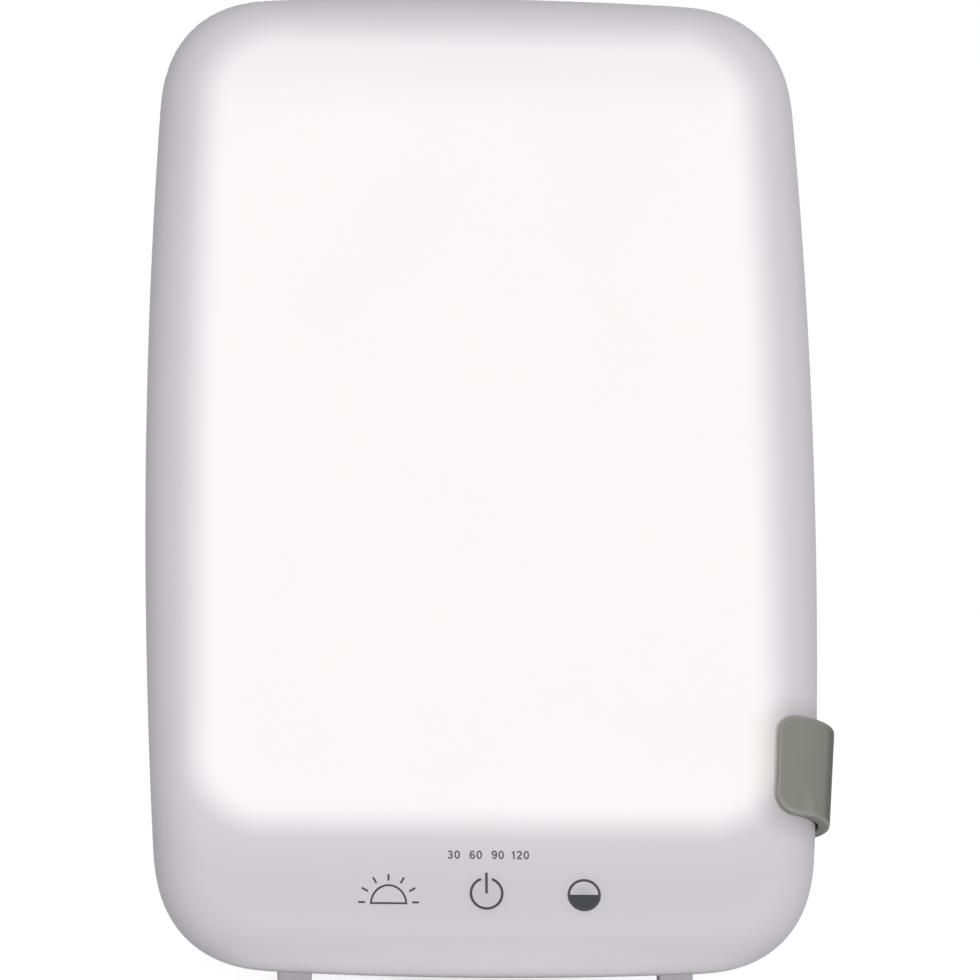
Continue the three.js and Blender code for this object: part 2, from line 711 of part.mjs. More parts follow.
const materials = {
  opal: finish(0xefecf1, 0.4),
  housing: finish(0xc6c4cb, 0.5),
  diffuser: finish(0xf8f6f6, 0.6),
  reflector: finish(0xf4f4f2, 0.7),
  aluminium: finish(0xb9bcc0, 0.45, 0.9),
  ledBoard: finish(0xe9e6dc, 0.6),
  board: finish(0x2f6b45, 0.6),
  mask: finish(0x2b2b2d, 0.8),
  ledChip: finish(0xf3efc8, 0.4),
  foam: finish(0x4a4a4c, 0.9),
  black: finish(0x232325, 0.5),
  copper: finish(0xa9683c, 0.4, 0.8),
  canister: finish(0x39424f, 0.4),
  connector: finish(0xe2dfd4, 0.6),
  redWire: finish(0xb3312c, 0.5),
  blackWire: finish(0x222224, 0.5),
  steel: finish(0x9a9ca0, 0.35, 0.95),
  footRubber: finish(0xb4b1b6, 0.8),
  grey: finish(0x84837e, 0.55),
  lining: finish(0x3a3a3c, 0.9),
  padRubber: finish(0x3c3c3e, 0.85),
};

// Assembly

const assembly = new THREE.Group();
assembly.name = 'light_therapy_lamp';
const panelGroup = new THREE.Group();
panelGroup.rotation.x = -lean;
assembly.add(panelGroup);

const leaning = new THREE.Matrix4().makeRotationX(-lean);
const lowest = moved(wholePanel(0), leaning).boundingBox().min[2];
const panelLift = foot.proud - lowest;
panelGroup.position.z = panelLift;
const panelPlace = new THREE.Matrix4().makeTranslation(0, 0, panelLift).multiply(leaning);

addPart(panelGroup, 'front_cover', frontCover(), materials.opal);
addPart(panelGroup, 'rear_housing', rearHousing(), materials.housing);
addPart(panelGroup, 'diffuser_plate', diffuserPlate(), materials.diffuser);
addPart(panelGroup, 'reflector_tray', reflectorTray(), materials.reflector);
addPart(panelGroup, 'carrier_plate', carrierPlate(), materials.aluminium);
strip.xs.forEach((x, i) => {
  addPart(panelGroup, `led_strip_${stripNames[i]}`, ledStrip(x), materials.ledBoard);
});
addPart(panelGroup, 'led_bus', stripBus(), materials.ledBoard);
addPart(panelGroup, 'control_board', controlBoard(), materials.board);
addPart(panelGroup, 'light_mask', lightMask(), materials.mask);
Object.entries(timers).forEach(([minutes, x]) => {
  addPart(panelGroup, `timer_led_${minutes}`, timerLight(x), materials.ledChip);
});
Object.entries(keys).forEach(([name, x]) => {
  addPart(panelGroup, `touch_pad_${name}`, touchPad(x), materials.foam);
});
addPart(panelGroup, 'driver_inductor', driverInductor(), materials.copper);
addPart(panelGroup, 'driver_capacitor', driverCapacitor(), materials.canister);
addPart(panelGroup, 'control_chip', boardBlock(controlChip), materials.black);
addPart(panelGroup, 'inlet_connector', boardBlock(inletPlug), materials.connector);
addPart(panelGroup, 'strip_connector', boardBlock(stripPlug), materials.connector);
addPart(panelGroup, 'power_socket', powerSocket(), materials.black);
addPart(panelGroup, 'inlet_lead_positive', inletLead(1), materials.redWire);
addPart(panelGroup, 'inlet_lead_negative', inletLead(-1), materials.blackWire);
addPart(panelGroup, 'strip_lead_positive', stripLead(1), materials.redWire);
addPart(panelGroup, 'strip_lead_negative', stripLead(-1), materials.blackWire);
mirrored(housingScrewAt).forEach(([x, z], i) => {
  const solid = screw(housingScrew, x, z, housingScrew.seat + housingScrew.play, 1);
  addPart(panelGroup, `housing_screw_${i + 1}`, solid, materials.steel);
});
mirrored(plateScrewAt).forEach(([x, z], i) => {
  const solid = screw(plateScrew, x, z, plate.front - gap, -1);
  addPart(panelGroup, `plate_screw_${i + 1}`, solid, materials.steel);
});
mirrored(boardScrewAt).forEach(([x, z], i) => {
  const solid = screw(plateScrew, x, z, board.front - gap, -1);
  addPart(panelGroup, `board_screw_${i + 1}`, solid, materials.steel);
});

addPart(panelGroup, 'stand_band', standBand(), materials.grey);
addPart(panelGroup, 'clip_lining', clipLining(), materials.lining);
addPart(panelGroup, 'hinge_pin', hingePin(), materials.steel);
addPart(panelGroup, 'hinge_washer_left', hingeWasher(-1), materials.black);
addPart(panelGroup, 'hinge_washer_right', hingeWasher(1), materials.black);

const hingeAt = new THREE.Vector3(0, hinge.y, slot.z).applyMatrix4(panelPlace);
const droop = Math.asin(hingeAt.z / leg.length);
const legPlace = new THREE.Matrix4().makeTranslation(hingeAt.x, hingeAt.y, hingeAt.z).multiply(leaning);
const legEndY = hingeAt.y + Math.sqrt(leg.length ** 2 - hingeAt.z ** 2);
const underLeg = block(-2 * leg.halfWidth, 2 * leg.halfWidth, hingeAt.y, 2 * legEndY, -leg.length,
  legPad.thickness + gap);
addPart(assembly, 'stand_leg', moved(legSolid(droop - lean), legPlace).subtract(underLeg), materials.grey);

const cutHalf = leg.thickness / 2 / Math.sin(droop);
const padMiddle = legEndY - (legPad.thickness + gap) / Math.tan(droop);
addPart(assembly, 'leg_pad', block(-legPad.halfWidth, legPad.halfWidth, padMiddle - cutHalf - legPad.overhang,
  padMiddle + cutHalf + legPad.overhang, 0, legPad.thickness), materials.padRubber);

const lowPoint = new THREE.Vector3(0, footEdge.lowY, footEdge.lowRise - outline.height / 2)
  .applyMatrix4(panelPlace);
const clearance = moved(wholePanel(gap), panelPlace);
const footNames = ['foot_left', 'foot_right'];
foot.xs.forEach((x, i) => {
  addPart(assembly, footNames[i], footPad(x, lowPoint.y).subtract(clearance), materials.footRubber);
});

// The row's origin is the middle of the base, under the whole part's bounding box.
const bounds = new THREE.Box3().setFromObject(assembly, true);
assembly.position.set(-(bounds.min.x + bounds.max.x) / 2, -(bounds.min.y + bounds.max.y) / 2, -bounds.min.z);

export default assembly;
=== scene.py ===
import math

import bpy
from mathutils import Matrix, Vector


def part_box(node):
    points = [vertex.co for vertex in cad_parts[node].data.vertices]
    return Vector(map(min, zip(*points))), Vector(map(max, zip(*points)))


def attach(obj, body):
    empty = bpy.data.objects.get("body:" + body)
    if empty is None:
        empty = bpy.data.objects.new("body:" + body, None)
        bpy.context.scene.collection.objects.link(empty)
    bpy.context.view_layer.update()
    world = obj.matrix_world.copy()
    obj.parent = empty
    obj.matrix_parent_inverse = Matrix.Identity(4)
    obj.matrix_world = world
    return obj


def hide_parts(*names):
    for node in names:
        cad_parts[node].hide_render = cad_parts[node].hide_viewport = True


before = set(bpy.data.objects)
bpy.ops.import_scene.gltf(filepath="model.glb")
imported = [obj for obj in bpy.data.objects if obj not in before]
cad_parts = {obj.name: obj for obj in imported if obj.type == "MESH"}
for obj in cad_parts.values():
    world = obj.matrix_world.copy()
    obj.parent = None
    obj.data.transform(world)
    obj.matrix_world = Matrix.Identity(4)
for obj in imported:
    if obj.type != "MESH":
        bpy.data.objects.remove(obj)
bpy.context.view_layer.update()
mm = 0.001

# The panel leans back; every piece on it is shaped in the panel's own axes (x right, y into the lamp, z up)
# and then leaned. The hinge pin tells where the panel's centre is.
lampSet = {"lean": 20.0, "hingeDepth": 22.0, "slotHeight": -107.5}   # degrees, mm, mm
outlineSet = {"width": 226.5, "height": 350.0, "corner": 40.8, "power": 2.6, "sideBow": 6.25, "endBow": 4.0}


def boxMiddle(node):
    low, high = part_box(node)
    return (low + high) / 2


leanMatrix = Matrix.Rotation(math.radians(-lampSet["lean"]), 4, "X")
hingeLocal = Vector((0, lampSet["hingeDepth"], lampSet["slotHeight"])) * mm
panelCentre = boxMiddle("hinge_pin") - leanMatrix @ hingeLocal
panelCentre.x = boxMiddle("front_cover").x
panelMatrix = Matrix.Translation(panelCentre) @ leanMatrix
print("panel centre", [round(v, 5) for v in panelCentre])


# Small helpers for modelling

def deselectAll():
    if bpy.context.object and bpy.context.object.mode != "OBJECT":
        bpy.ops.object.mode_set(mode="OBJECT")
    bpy.ops.object.select_all(action="DESELECT")


def takeNew(name):
    piece = bpy.context.object
    piece.name = name
    piece.data.name = name
    bpy.ops.object.transform_apply(location=True, rotation=True, scale=True)
    return piece


def addBlock(name, low, high):
    deselectAll()
    middle = [(a + b) / 2 * mm for a, b in zip(low, high)]
    size = [abs(b - a) * mm for a, b in zip(low, high)]
    bpy.ops.mesh.primitive_cube_add(size=1, location=middle, scale=size)
    return takeNew(name)


def addRod(name, radius, start, end, turn, vertices=48):
    # turn lays the cylinder's own z axis along x or y
    deselectAll()
    middle = [(a + b) / 2 * mm for a, b in zip(start, end)]
    length = math.dist(start, end) * mm
    rotation = {"x": (0, math.pi / 2, 0), "y": (math.pi / 2, 0, 0), "z": (0, 0, 0)}[turn]
    bpy.ops.mesh.primitive_cylinder_add(vertices=vertices, radius=radius * mm, depth=length,
                                        location=middle, rotation=rotation)
    return takeNew(name)


facing = 0.9    # a face counts as turned to a side when that part of its normal is above this


def editFaces(piece, wanted):
    # goes into edit mode with only the wanted faces selected
    deselectAll()
    bpy.context.view_layer.objects.active = piece
    piece.select_set(True)
    bpy.ops.object.mode_set(mode="EDIT")
    bpy.ops.mesh.select_mode(type="FACE")
    bpy.ops.mesh.select_all(action="DESELECT")
    bpy.ops.object.mode_set(mode="OBJECT")
    for face in piece.data.polygons:
        face.select = wanted(face)
    bpy.ops.object.mode_set(mode="EDIT")


def leaveEdit():
    bpy.ops.object.mode_set(mode="OBJECT")


def addPrism(name, corners, travel):
    # a flat face through the given corners, pulled along a direction
    deselectAll()
    bpy.ops.mesh.primitive_circle_add(vertices=len(corners), fill_type="NGON")
    piece = takeNew(name)
    for vertex, corner in zip(piece.data.vertices, corners):
        vertex.co = Vector(corner) * mm
    piece.data.update()
    editFaces(piece, lambda face: True)
    bpy.ops.mesh.extrude_region_move(TRANSFORM_OT_translate={"value": Vector(travel) * mm})
    bpy.ops.mesh.select_all(action="SELECT")
    bpy.ops.mesh.normals_make_consistent(inside=False)
    leaveEdit()
    return piece


def applyModifier(piece, kind, **settings):
    deselectAll()
    bpy.context.view_layer.objects.active = piece
    piece.select_set(True)
    modifier = piece.modifiers.new(kind.title(), kind)
    for key, value in settings.items():
        setattr(modifier, key, value)
    bpy.ops.object.modifier_apply(modifier=modifier.name)


def roundEdges(piece, width, segments=3, angle=40):
    applyModifier(piece, "BEVEL", width=width * mm, segments=segments, limit_method="ANGLE",
                  angle_limit=math.radians(angle), harden_normals=False, use_clamp_overlap=True)


def joinPieces(pieces):
    deselectAll()
    for piece in pieces:
        piece.select_set(True)
    bpy.context.view_layer.objects.active = pieces[0]
    if len(pieces) > 1:
        bpy.ops.object.join()
    return pieces[0]


def booleanWith(piece, others, operation):
    tool = joinPieces(others)
    applyModifier(piece, "BOOLEAN", object=tool, operation=operation, solver="EXACT", use_self=True)
    bpy.data.objects.remove(tool, do_unlink=True)


def copyPiece(piece, name):
    twin = piece.copy()
    twin.data = piece.data.copy()
    twin.name = name
    bpy.context.collection.objects.link(twin)
    return twin


def smoothPiece(piece, angle=35):
    deselectAll()
    bpy.context.view_layer.objects.active = piece
    piece.select_set(True)
    bpy.ops.object.shade_smooth_by_angle(angle=math.radians(angle))


def placePiece(piece, matrix):
    piece.data.transform(matrix)
    piece.data.update()


def finishPiece(piece, body, material, nodes=()):
    piece.data.materials.clear()
    piece.data.materials.append(material)
    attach(piece, body)
    if nodes:
        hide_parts(*nodes)


# Materials

def linearColour(hexCode):
    values = [int(hexCode[i:i + 2], 16) / 255 for i in (1, 3, 5)]
    return [v / 12.92 if v <= 0.04045 else ((v + 0.055) / 1.055) ** 2.4 for v in values] + [1.0]


def addNode(tree, kind, settings=None, inputs=None):
    node = tree.nodes.new(kind)
    for key, value in (settings or {}).items():
        setattr(node, key, value)
    for key, value in (inputs or {}).items():
        if isinstance(value, bpy.types.Node):
            value = value.outputs[0]
        if isinstance(value, bpy.types.NodeSocket):
            tree.links.new(value, node.inputs[key])
        else:
            node.inputs[key].default_value = value
    return node


def newMaterial(name):
    material = bpy.data.materials.new(name)
    material.use_nodes = True
    material.node_tree.nodes.clear()
    return material, material.node_tree


def closeMaterial(tree, shader):
    addNode(tree, "ShaderNodeOutputMaterial", None, {"Surface": shader.outputs[0]})


plasticSet = {
    "ior": 1.49, "roughSpread": 0.06, "cloud": 45.0,    # mm, how slowly the tone drifts
    "rimFrom": 0.495, "rimTo": 0.555,                   # Pointiness, which is 0.5 on a flat place
}
# Painted shade and a painted highlight on the clip: its outer flank is painted darker, a painted shade
# that stands for a dark reflection, and a short stretch of the tongue's lower rim is painted brighter.
clipShadeAndGlintSet = {
    "flankFrom": 0.82, "flankTo": 0.955, "flankShade": 0.52,                   # by the normal's X
    "frontFrom": -0.86, "frontTo": -0.6, "glint": 1.5,                         # by the normal's Y
    "glintX": 100.5, "glintY": -21.0, "glintDown": 15.0, "glintNear": 6.0, "glintFar": 10.0,    # mm
}


def mouldedPlastic(name, hexCode, roughness, grain, depth, drift=0.03, specular=0.5, rimHighlight=0.0,
                   glintPlace=None):
    # moulded thermoplastic: spark-eroded grain from the tool, a slight drift of tone from cooling
    material, tree = newMaterial(name)
    base = linearColour(hexCode)

    def toned(gain):
        return [min(1, v * gain) for v in base[:3]] + [1]

    place = addNode(tree, "ShaderNodeTexCoord")
    grainNoise = addNode(tree, "ShaderNodeTexNoise", None, {
        "Vector": place.outputs["Object"], "Scale": 1 / (grain * mm), "Detail": 3.0, "Roughness": 0.55})
    tone = addNode(tree, "ShaderNodeTexNoise", None, {
        "Vector": place.outputs["Object"], "Scale": 1 / (plasticSet["cloud"] * mm), "Detail": 2.0})
    shade = addNode(tree, "ShaderNodeMix", {"data_type": "RGBA"}, {
        0: tone, 6: toned(1 - drift), 7: toned(1 + drift)})
    # painted shade on the clip's outer flank and a painted highlight on its lower rim
    if glintPlace:
        shade = paintClipShadeAndGlint(tree, place, shade, toned(clipShadeAndGlintSet["glint"]), glintPlace)
    if rimHighlight:
        # painted highlight: rims painted paler where Pointiness shows a sharp edge, on the clip and on the
        # leg to go with it
        relief = addNode(tree, "ShaderNodeNewGeometry")
        rim = addNode(tree, "ShaderNodeMapRange", {"interpolation_type": "SMOOTHSTEP"}, {
            "Value": relief.outputs["Pointiness"], "From Min": plasticSet["rimFrom"],
            "From Max": plasticSet["rimTo"]})
        shade = addNode(tree, "ShaderNodeMix", {"data_type": "RGBA"}, {
            0: rim, 6: shade.outputs[2], 7: toned(1 + rimHighlight)})
    rough = addNode(tree, "ShaderNodeMapRange", None, {
        "Value": grainNoise, "To Min": roughness - plasticSet["roughSpread"],
        "To Max": roughness + plasticSet["roughSpread"]})
    bump = addNode(tree, "ShaderNodeBump", None, {
        "Strength": 0.35, "Distance": depth * mm, "Height": grainNoise})
    skin = addNode(tree, "ShaderNodeBsdfPrincipled", None, {
        "Base Color": shade.outputs[2], "Roughness": rough, "IOR": plasticSet["ior"],
        "Specular IOR Level": specular, "Normal": bump})
    closeMaterial(tree, skin)
    return material


def paintClipShadeAndGlint(tree, place, shade, glintColour, glintPlace):
    s = clipShadeAndGlintSet
    # the flank painted darker by the normal's X, a painted shade; the lower rim near glintPlace painted
    # brighter, a painted highlight
    turned = addNode(tree, "ShaderNodeSeparateXYZ", None, {0: place.outputs["Normal"]})
    flankShadeMask = addNode(tree, "ShaderNodeMapRange", {"interpolation_type": "SMOOTHSTEP"}, {
        "Value": turned.outputs["X"], "From Min": s["flankFrom"], "From Max": s["flankTo"],
        "To Max": s["flankShade"]})
    shade = addNode(tree, "ShaderNodeMix", {"data_type": "RGBA"}, {
        0: flankShadeMask, 6: shade.outputs[2], 7: (0.0, 0.0, 0.0, 1.0)})
    rim = addNode(tree, "ShaderNodeMapRange", {"interpolation_type": "SMOOTHSTEP"}, {
        "Value": turned.outputs["Y"], "From Min": s["frontFrom"], "From Max": s["frontTo"]})
    distance = addNode(tree, "ShaderNodeVectorMath", {"operation": "DISTANCE"}, {
        0: place.outputs["Object"], 1: glintPlace})
    near = addNode(tree, "ShaderNodeMapRange", {"interpolation_type": "SMOOTHSTEP"}, {
        "Value": distance.outputs["Value"], "From Min": s["glintFar"] * mm, "From Max": s["glintNear"] * mm})
    glint = addNode(tree, "ShaderNodeMath", {"operation": "MULTIPLY"}, {0: rim, 1: near})
    return addNode(tree, "ShaderNodeMix", {"data_type": "RGBA"}, {
        0: glint, 6: shade.outputs[2], 7: glintColour})


metalSet = {"streak": 14, "darkest": 0.9, "smoother": 0.08, "rougher": 0.1, "relief": 0.02}   # relief in mm


def sheetMetal(name, hexCode, roughness, grain):
    # bare or plated metal: rolled or turned, so the roughness runs in fine streaks
    s = metalSet
    material, tree = newMaterial(name)
    place = addNode(tree, "ShaderNodeTexCoord")
    streak = addNode(tree, "ShaderNodeMapping", None, {
        "Vector": place.outputs["Object"], "Scale": (1, 1, s["streak"])})
    noise = addNode(tree, "ShaderNodeTexNoise", None, {
        "Vector": streak, "Scale": 1 / (grain * mm), "Detail": 4.0})
    rough = addNode(tree, "ShaderNodeMapRange", None, {
        "Value": noise, "To Min": roughness - s["smoother"], "To Max": roughness + s["rougher"]})
    bump = addNode(tree, "ShaderNodeBump", None, {
        "Strength": 0.2, "Distance": s["relief"] * mm, "Height": noise})
    base = linearColour(hexCode)
    shade = addNode(tree, "ShaderNodeMix", {"data_type": "RGBA"}, {
        0: noise, 6: [v * s["darkest"] for v in base[:3]] + [1], 7: base})
    skin = addNode(tree, "ShaderNodeBsdfPrincipled", None, {
        "Base Color": shade.outputs[2], "Metallic": 1.0, "Roughness": rough, "Normal": bump})
    closeMaterial(tree, skin)
    return material


opalSet = {
    "plastic": "#D3D0D6", "edgeTint": "#C4C1C9", "tintShare": 0.15,
    "light": "#FBFCEE", "lightStrength": 0.31,
    "halfWidth": 96.9, "bottom": -129.0, "top": 156.0, "corner": 24.5,       # mm, where the light is at half
    "fadeOut": 6.5, "fadeIn": 8.0,                                           # mm, either side of that line
    "taper": 0.00019,                                                        # narrowing, per mm of height
    "dimFrom": 122.0, "dimTo": 152.0, "dimmest": 0.78,                       # mm, and the light left there
    "cloud": 60.0, "leastEven": 0.97, "mostEven": 1.02,                      # mm, and the light's drift
    # rimLight from rimFrom to rimTo: painted light on the lower rim, brighter towards the bottom
    "skirt": 0.05, "skirtWidth": 23.0, "rimLight": 0.15, "rimFrom": -167.0, "rimTo": -176.0,
    "grain": 0.35, "grainDepth": 0.008, "roughness": 0.42, "roughSpread": 0.05,
}
# A painted shadow on the cover round the clip: a soft darker border, the clip's own shade. It is painted on
# the cover, so it stays when the band slides out.
clipShadowSet = {"x": 109.0, "halfX": 13.2, "halfZ": 16.8, "corner": 6.0, "reach": 11.0, "shade": 0.8}
# mm: soft darker spots round two touch places and the shade inside the half circle, as photographed;
# each has its middle, where it starts to fade, where it ends, and its shade
touchShades = [(-0.6, -151.6, 4.0, 9.0, 0.93), (31.4, -152.0, 4.0, 9.0, 0.93), (31.4, -151.9, 0.5, 4.8, 0.84)]


def opalAcrylic():
    # opal PMMA moulding, milky and satin; the light field's soft glow is emission, shaped as photographed
    s = opalSet
    material, tree = newMaterial("opalAcrylic")
    place = addNode(tree, "ShaderNodeTexCoord")
    back = leanMatrix.inverted().to_3x3()
    local = addNode(tree, "ShaderNodeMapping", {"vector_type": "POINT"}, {
        "Vector": place.outputs["Object"], "Scale": (1 / mm, 1 / mm, 1 / mm),
        "Rotation": back.to_euler(), "Location": -(back @ panelCentre) / mm})
    axes = addNode(tree, "ShaderNodeSeparateXYZ", None, {0: local})

    def boxDistance(x, z, halfX, halfZ, corner):
        # distance in mm from the edge of a box with round corners, negative inside it
        spot = addNode(tree, "ShaderNodeCombineXYZ", None, {"X": x, "Z": z})
        folded = addNode(tree, "ShaderNodeVectorMath", {"operation": "ABSOLUTE"}, {0: spot})
        over = addNode(tree, "ShaderNodeVectorMath", {"operation": "SUBTRACT"}, {
            0: folded, 1: (halfX - corner, 0, halfZ - corner)})
        outer = addNode(tree, "ShaderNodeVectorMath", {"operation": "MAXIMUM"}, {0: over})
        reach = addNode(tree, "ShaderNodeVectorMath", {"operation": "LENGTH"}, {0: outer})
        sides = addNode(tree, "ShaderNodeSeparateXYZ", None, {0: over})
        nearest = addNode(tree, "ShaderNodeMath", {"operation": "MAXIMUM"}, {
            0: sides.outputs["X"], 1: sides.outputs["Z"]})
        inside = addNode(tree, "ShaderNodeMath", {"operation": "MINIMUM"}, {0: nearest, 1: 0.0})
        square = addNode(tree, "ShaderNodeMath", {"operation": "ADD"}, {0: reach.outputs["Value"], 1: inside})
        return addNode(tree, "ShaderNodeMath", {"operation": "SUBTRACT"}, {0: square, 1: corner})

    # the lit field narrows with the outline towards the top
    above = addNode(tree, "ShaderNodeMath", {"operation": "MAXIMUM"}, {0: axes.outputs["Z"], 1: 0.0})
    squared = addNode(tree, "ShaderNodeMath", {"operation": "MULTIPLY"}, {0: above, 1: above})
    taper = addNode(tree, "ShaderNodeMath", {"operation": "MULTIPLY"}, {0: squared, 1: s["taper"]})
    sideways = addNode(tree, "ShaderNodeMath", {"operation": "ABSOLUTE"}, {0: axes.outputs["X"]})
    acrossX = addNode(tree, "ShaderNodeMath", {"operation": "ADD"}, {0: sideways, 1: taper})
    fromMiddle = addNode(tree, "ShaderNodeMath", {"operation": "SUBTRACT"}, {
        0: axes.outputs["Z"], 1: (s["bottom"] + s["top"]) / 2})
    distance = boxDistance(acrossX, fromMiddle, s["halfWidth"], (s["top"] - s["bottom"]) / 2, s["corner"])
    glow = addNode(tree, "ShaderNodeMapRange", {"interpolation_type": "SMOOTHSTEP"}, {
        "Value": distance, "From Min": s["fadeOut"], "From Max": -s["fadeIn"]})

    # the field is dimmer near the top, as photographed
    topFade = addNode(tree, "ShaderNodeMapRange", {"interpolation_type": "SMOOTHSTEP"}, {
        "Value": axes.outputs["Z"], "From Min": s["dimFrom"], "From Max": s["dimTo"], "To Min": 1.0,
        "To Max": s["dimmest"]})
    lit = addNode(tree, "ShaderNodeMath", {"operation": "MULTIPLY"}, {0: glow, 1: topFade})
    cloud = addNode(tree, "ShaderNodeTexNoise", None, {
        "Vector": place.outputs["Object"], "Scale": 1 / (s["cloud"] * mm), "Detail": 1.0})
    evenness = addNode(tree, "ShaderNodeMapRange", None, {
        "Value": cloud, "To Min": s["leastEven"], "To Max": s["mostEven"]})
    evenLit = addNode(tree, "ShaderNodeMath", {"operation": "MULTIPLY"}, {0: lit, 1: evenness})
    field = addNode(tree, "ShaderNodeMath", {"operation": "MULTIPLY"}, {0: evenLit, 1: s["lightStrength"]})

    # fainter glow on the plastic: a skirt round the field, and painted light on the lower rim, brighter
    # towards the bottom
    skirt = addNode(tree, "ShaderNodeMapRange", {"interpolation_type": "SMOOTHSTEP"}, {
        "Value": distance, "From Min": s["skirtWidth"], "From Max": 0.0, "To Max": s["skirt"]})
    paintedLowRimLight = addNode(tree, "ShaderNodeMapRange", {"interpolation_type": "SMOOTHSTEP"}, {
        "Value": axes.outputs["Z"], "From Min": s["rimFrom"], "From Max": s["rimTo"],
        "To Max": s["rimLight"]})
    skirtAndPaintedRim = addNode(tree, "ShaderNodeMath", {"operation": "ADD"}, {0: skirt, 1: paintedLowRimLight})
    strength = addNode(tree, "ShaderNodeMath", {"operation": "ADD"}, {0: field, 1: skirtAndPaintedRim})

    # the painted shadow round the clip and the spots of the touch places
    clipShadow = clipShadowSet
    fromClipX = addNode(tree, "ShaderNodeMath", {"operation": "SUBTRACT"}, {
        0: axes.outputs["X"], 1: clipShadow["x"]})
    fromClipZ = addNode(tree, "ShaderNodeMath", {"operation": "SUBTRACT"}, {
        0: axes.outputs["Z"], 1: lampSet["slotHeight"]})
    fromClip = boxDistance(fromClipX, fromClipZ, clipShadow["halfX"], clipShadow["halfZ"], clipShadow["corner"])
    shadow = addNode(tree, "ShaderNodeMapRange", {"interpolation_type": "SMOOTHSTEP"}, {
        "Value": fromClip, "From Min": 0.0, "From Max": clipShadow["reach"], "To Min": clipShadow["shade"]})
    onFront = addNode(tree, "ShaderNodeCombineXYZ", None, {"X": axes.outputs["X"], "Z": axes.outputs["Z"]})
    for x, z, core, end, shade in touchShades:
        far = addNode(tree, "ShaderNodeVectorMath", {"operation": "DISTANCE"}, {0: onFront, 1: (x, 0, z)})
        ring = addNode(tree, "ShaderNodeMapRange", {"interpolation_type": "SMOOTHSTEP"}, {
            "Value": far.outputs["Value"], "From Min": core, "From Max": end, "To Min": shade})
        shadow = addNode(tree, "ShaderNodeMath", {"operation": "MULTIPLY"}, {0: shadow, 1: ring})

    grain = addNode(tree, "ShaderNodeTexNoise", None, {
        "Vector": place.outputs["Object"], "Scale": 1 / (s["grain"] * mm), "Detail": 2.0})
    tint = addNode(tree, "ShaderNodeMix", {"data_type": "RGBA"}, {
        0: cloud, 6: linearColour(s["edgeTint"]), 7: linearColour(s["plastic"])})
    plastic = addNode(tree, "ShaderNodeMix", {"data_type": "RGBA"}, {
        0: 1 - s["tintShare"], 6: tint.outputs[2], 7: linearColour(s["plastic"])})
    shaded = addNode(tree, "ShaderNodeVectorMath", {"operation": "SCALE"}, {
        0: plastic.outputs[2], "Scale": shadow})
    rough = addNode(tree, "ShaderNodeMapRange", None, {
        "Value": grain, "To Min": s["roughness"] - s["roughSpread"],
        "To Max": s["roughness"] + s["roughSpread"]})
    bump = addNode(tree, "ShaderNodeBump", None, {
        "Strength": 0.25, "Distance": s["grainDepth"] * mm, "Height": grain})
    skin = addNode(tree, "ShaderNodeBsdfPrincipled", None, {
        "Base Color": shaded, "Roughness": rough, "IOR": plasticSet["ior"],
        "Specular IOR Level": 0.03, "Normal": bump,
        "Emission Color": linearColour(s["light"]), "Emission Strength": strength})
    closeMaterial(tree, skin)
    return material


def screenInk(name, hexCode):
    return mouldedPlastic(name, hexCode, roughness=0.6, grain=0.2, depth=0.004, drift=0.06, specular=0.15)


opalPlastic = opalAcrylic()
housingPlastic = mouldedPlastic("housingAbs", "#C9C6CD", roughness=0.5, grain=0.5, depth=0.02)
fieldPlastic = mouldedPlastic("polishedHousingAbs", "#D2CFD5", roughness=0.28, grain=0.5, depth=0.004)
# where the painted highlight sits on the clip's tongue
glintLocal = Vector((clipShadeAndGlintSet["glintX"], clipShadeAndGlintSet["glintY"],
                     lampSet["slotHeight"] - clipShadeAndGlintSet["glintDown"]))
greyPlastic = mouldedPlastic("clipPolypropylene", "#898983", roughness=0.45, grain=0.45, depth=0.015,
                             specular=0.02, rimHighlight=0.48, glintPlace=panelMatrix @ (glintLocal * mm))
legPlastic = mouldedPlastic("legPolypropylene", "#8A8A84", roughness=0.45, grain=0.45, depth=0.015,
                            specular=0.02, rimHighlight=0.4)
footPlastic = mouldedPlastic("footThermoplasticRubber", "#B0ADB2", roughness=0.75, grain=0.4, depth=0.02,
                             specular=0.1)
padRubber = mouldedPlastic("padRubber", "#3C3C3E", roughness=0.85, grain=0.5, depth=0.03)
liningFoam = mouldedPlastic("liningFoam", "#3A3A3C", roughness=0.95, grain=0.6, depth=0.08)
darkInk = screenInk("screenInk", "#504B4E")
digitInk = screenInk("screenInkBrown", "#675C5D")
halfInk = screenInk("screenInkBlue", "#424649")
blackNylon = mouldedPlastic("blackNylon", "#232325", roughness=0.5, grain=0.4, depth=0.01)
whiteFilm = mouldedPlastic("whiteFilm", "#F2F1EE", roughness=0.65, grain=0.8, depth=0.01)
diffuserSheet = mouldedPlastic("diffuserPolystyrene", "#F4F3F3", roughness=0.6, grain=0.5, depth=0.01)
whiteMask = mouldedPlastic("whiteSolderMask", "#E9E6DC", roughness=0.45, grain=0.6, depth=0.01)
greenMask = mouldedPlastic("greenSolderMask", "#2F6B45", roughness=0.4, grain=0.6, depth=0.01)
lensEpoxy = mouldedPlastic("lensEpoxy", "#F1ECC6", roughness=0.2, grain=0.5, depth=0.004)
naturalNylon = mouldedPlastic("naturalNylon", "#E2DFD4", roughness=0.5, grain=0.5, depth=0.01)
redSleeve = mouldedPlastic("redSleeve", "#B3312C", roughness=0.45, grain=0.4, depth=0.005)
blackSleeve = mouldedPlastic("blackSleeve", "#222224", roughness=0.45, grain=0.4, depth=0.005)
capSleeve = mouldedPlastic("capacitorSleeve", "#39424F", roughness=0.4, grain=0.5, depth=0.005)
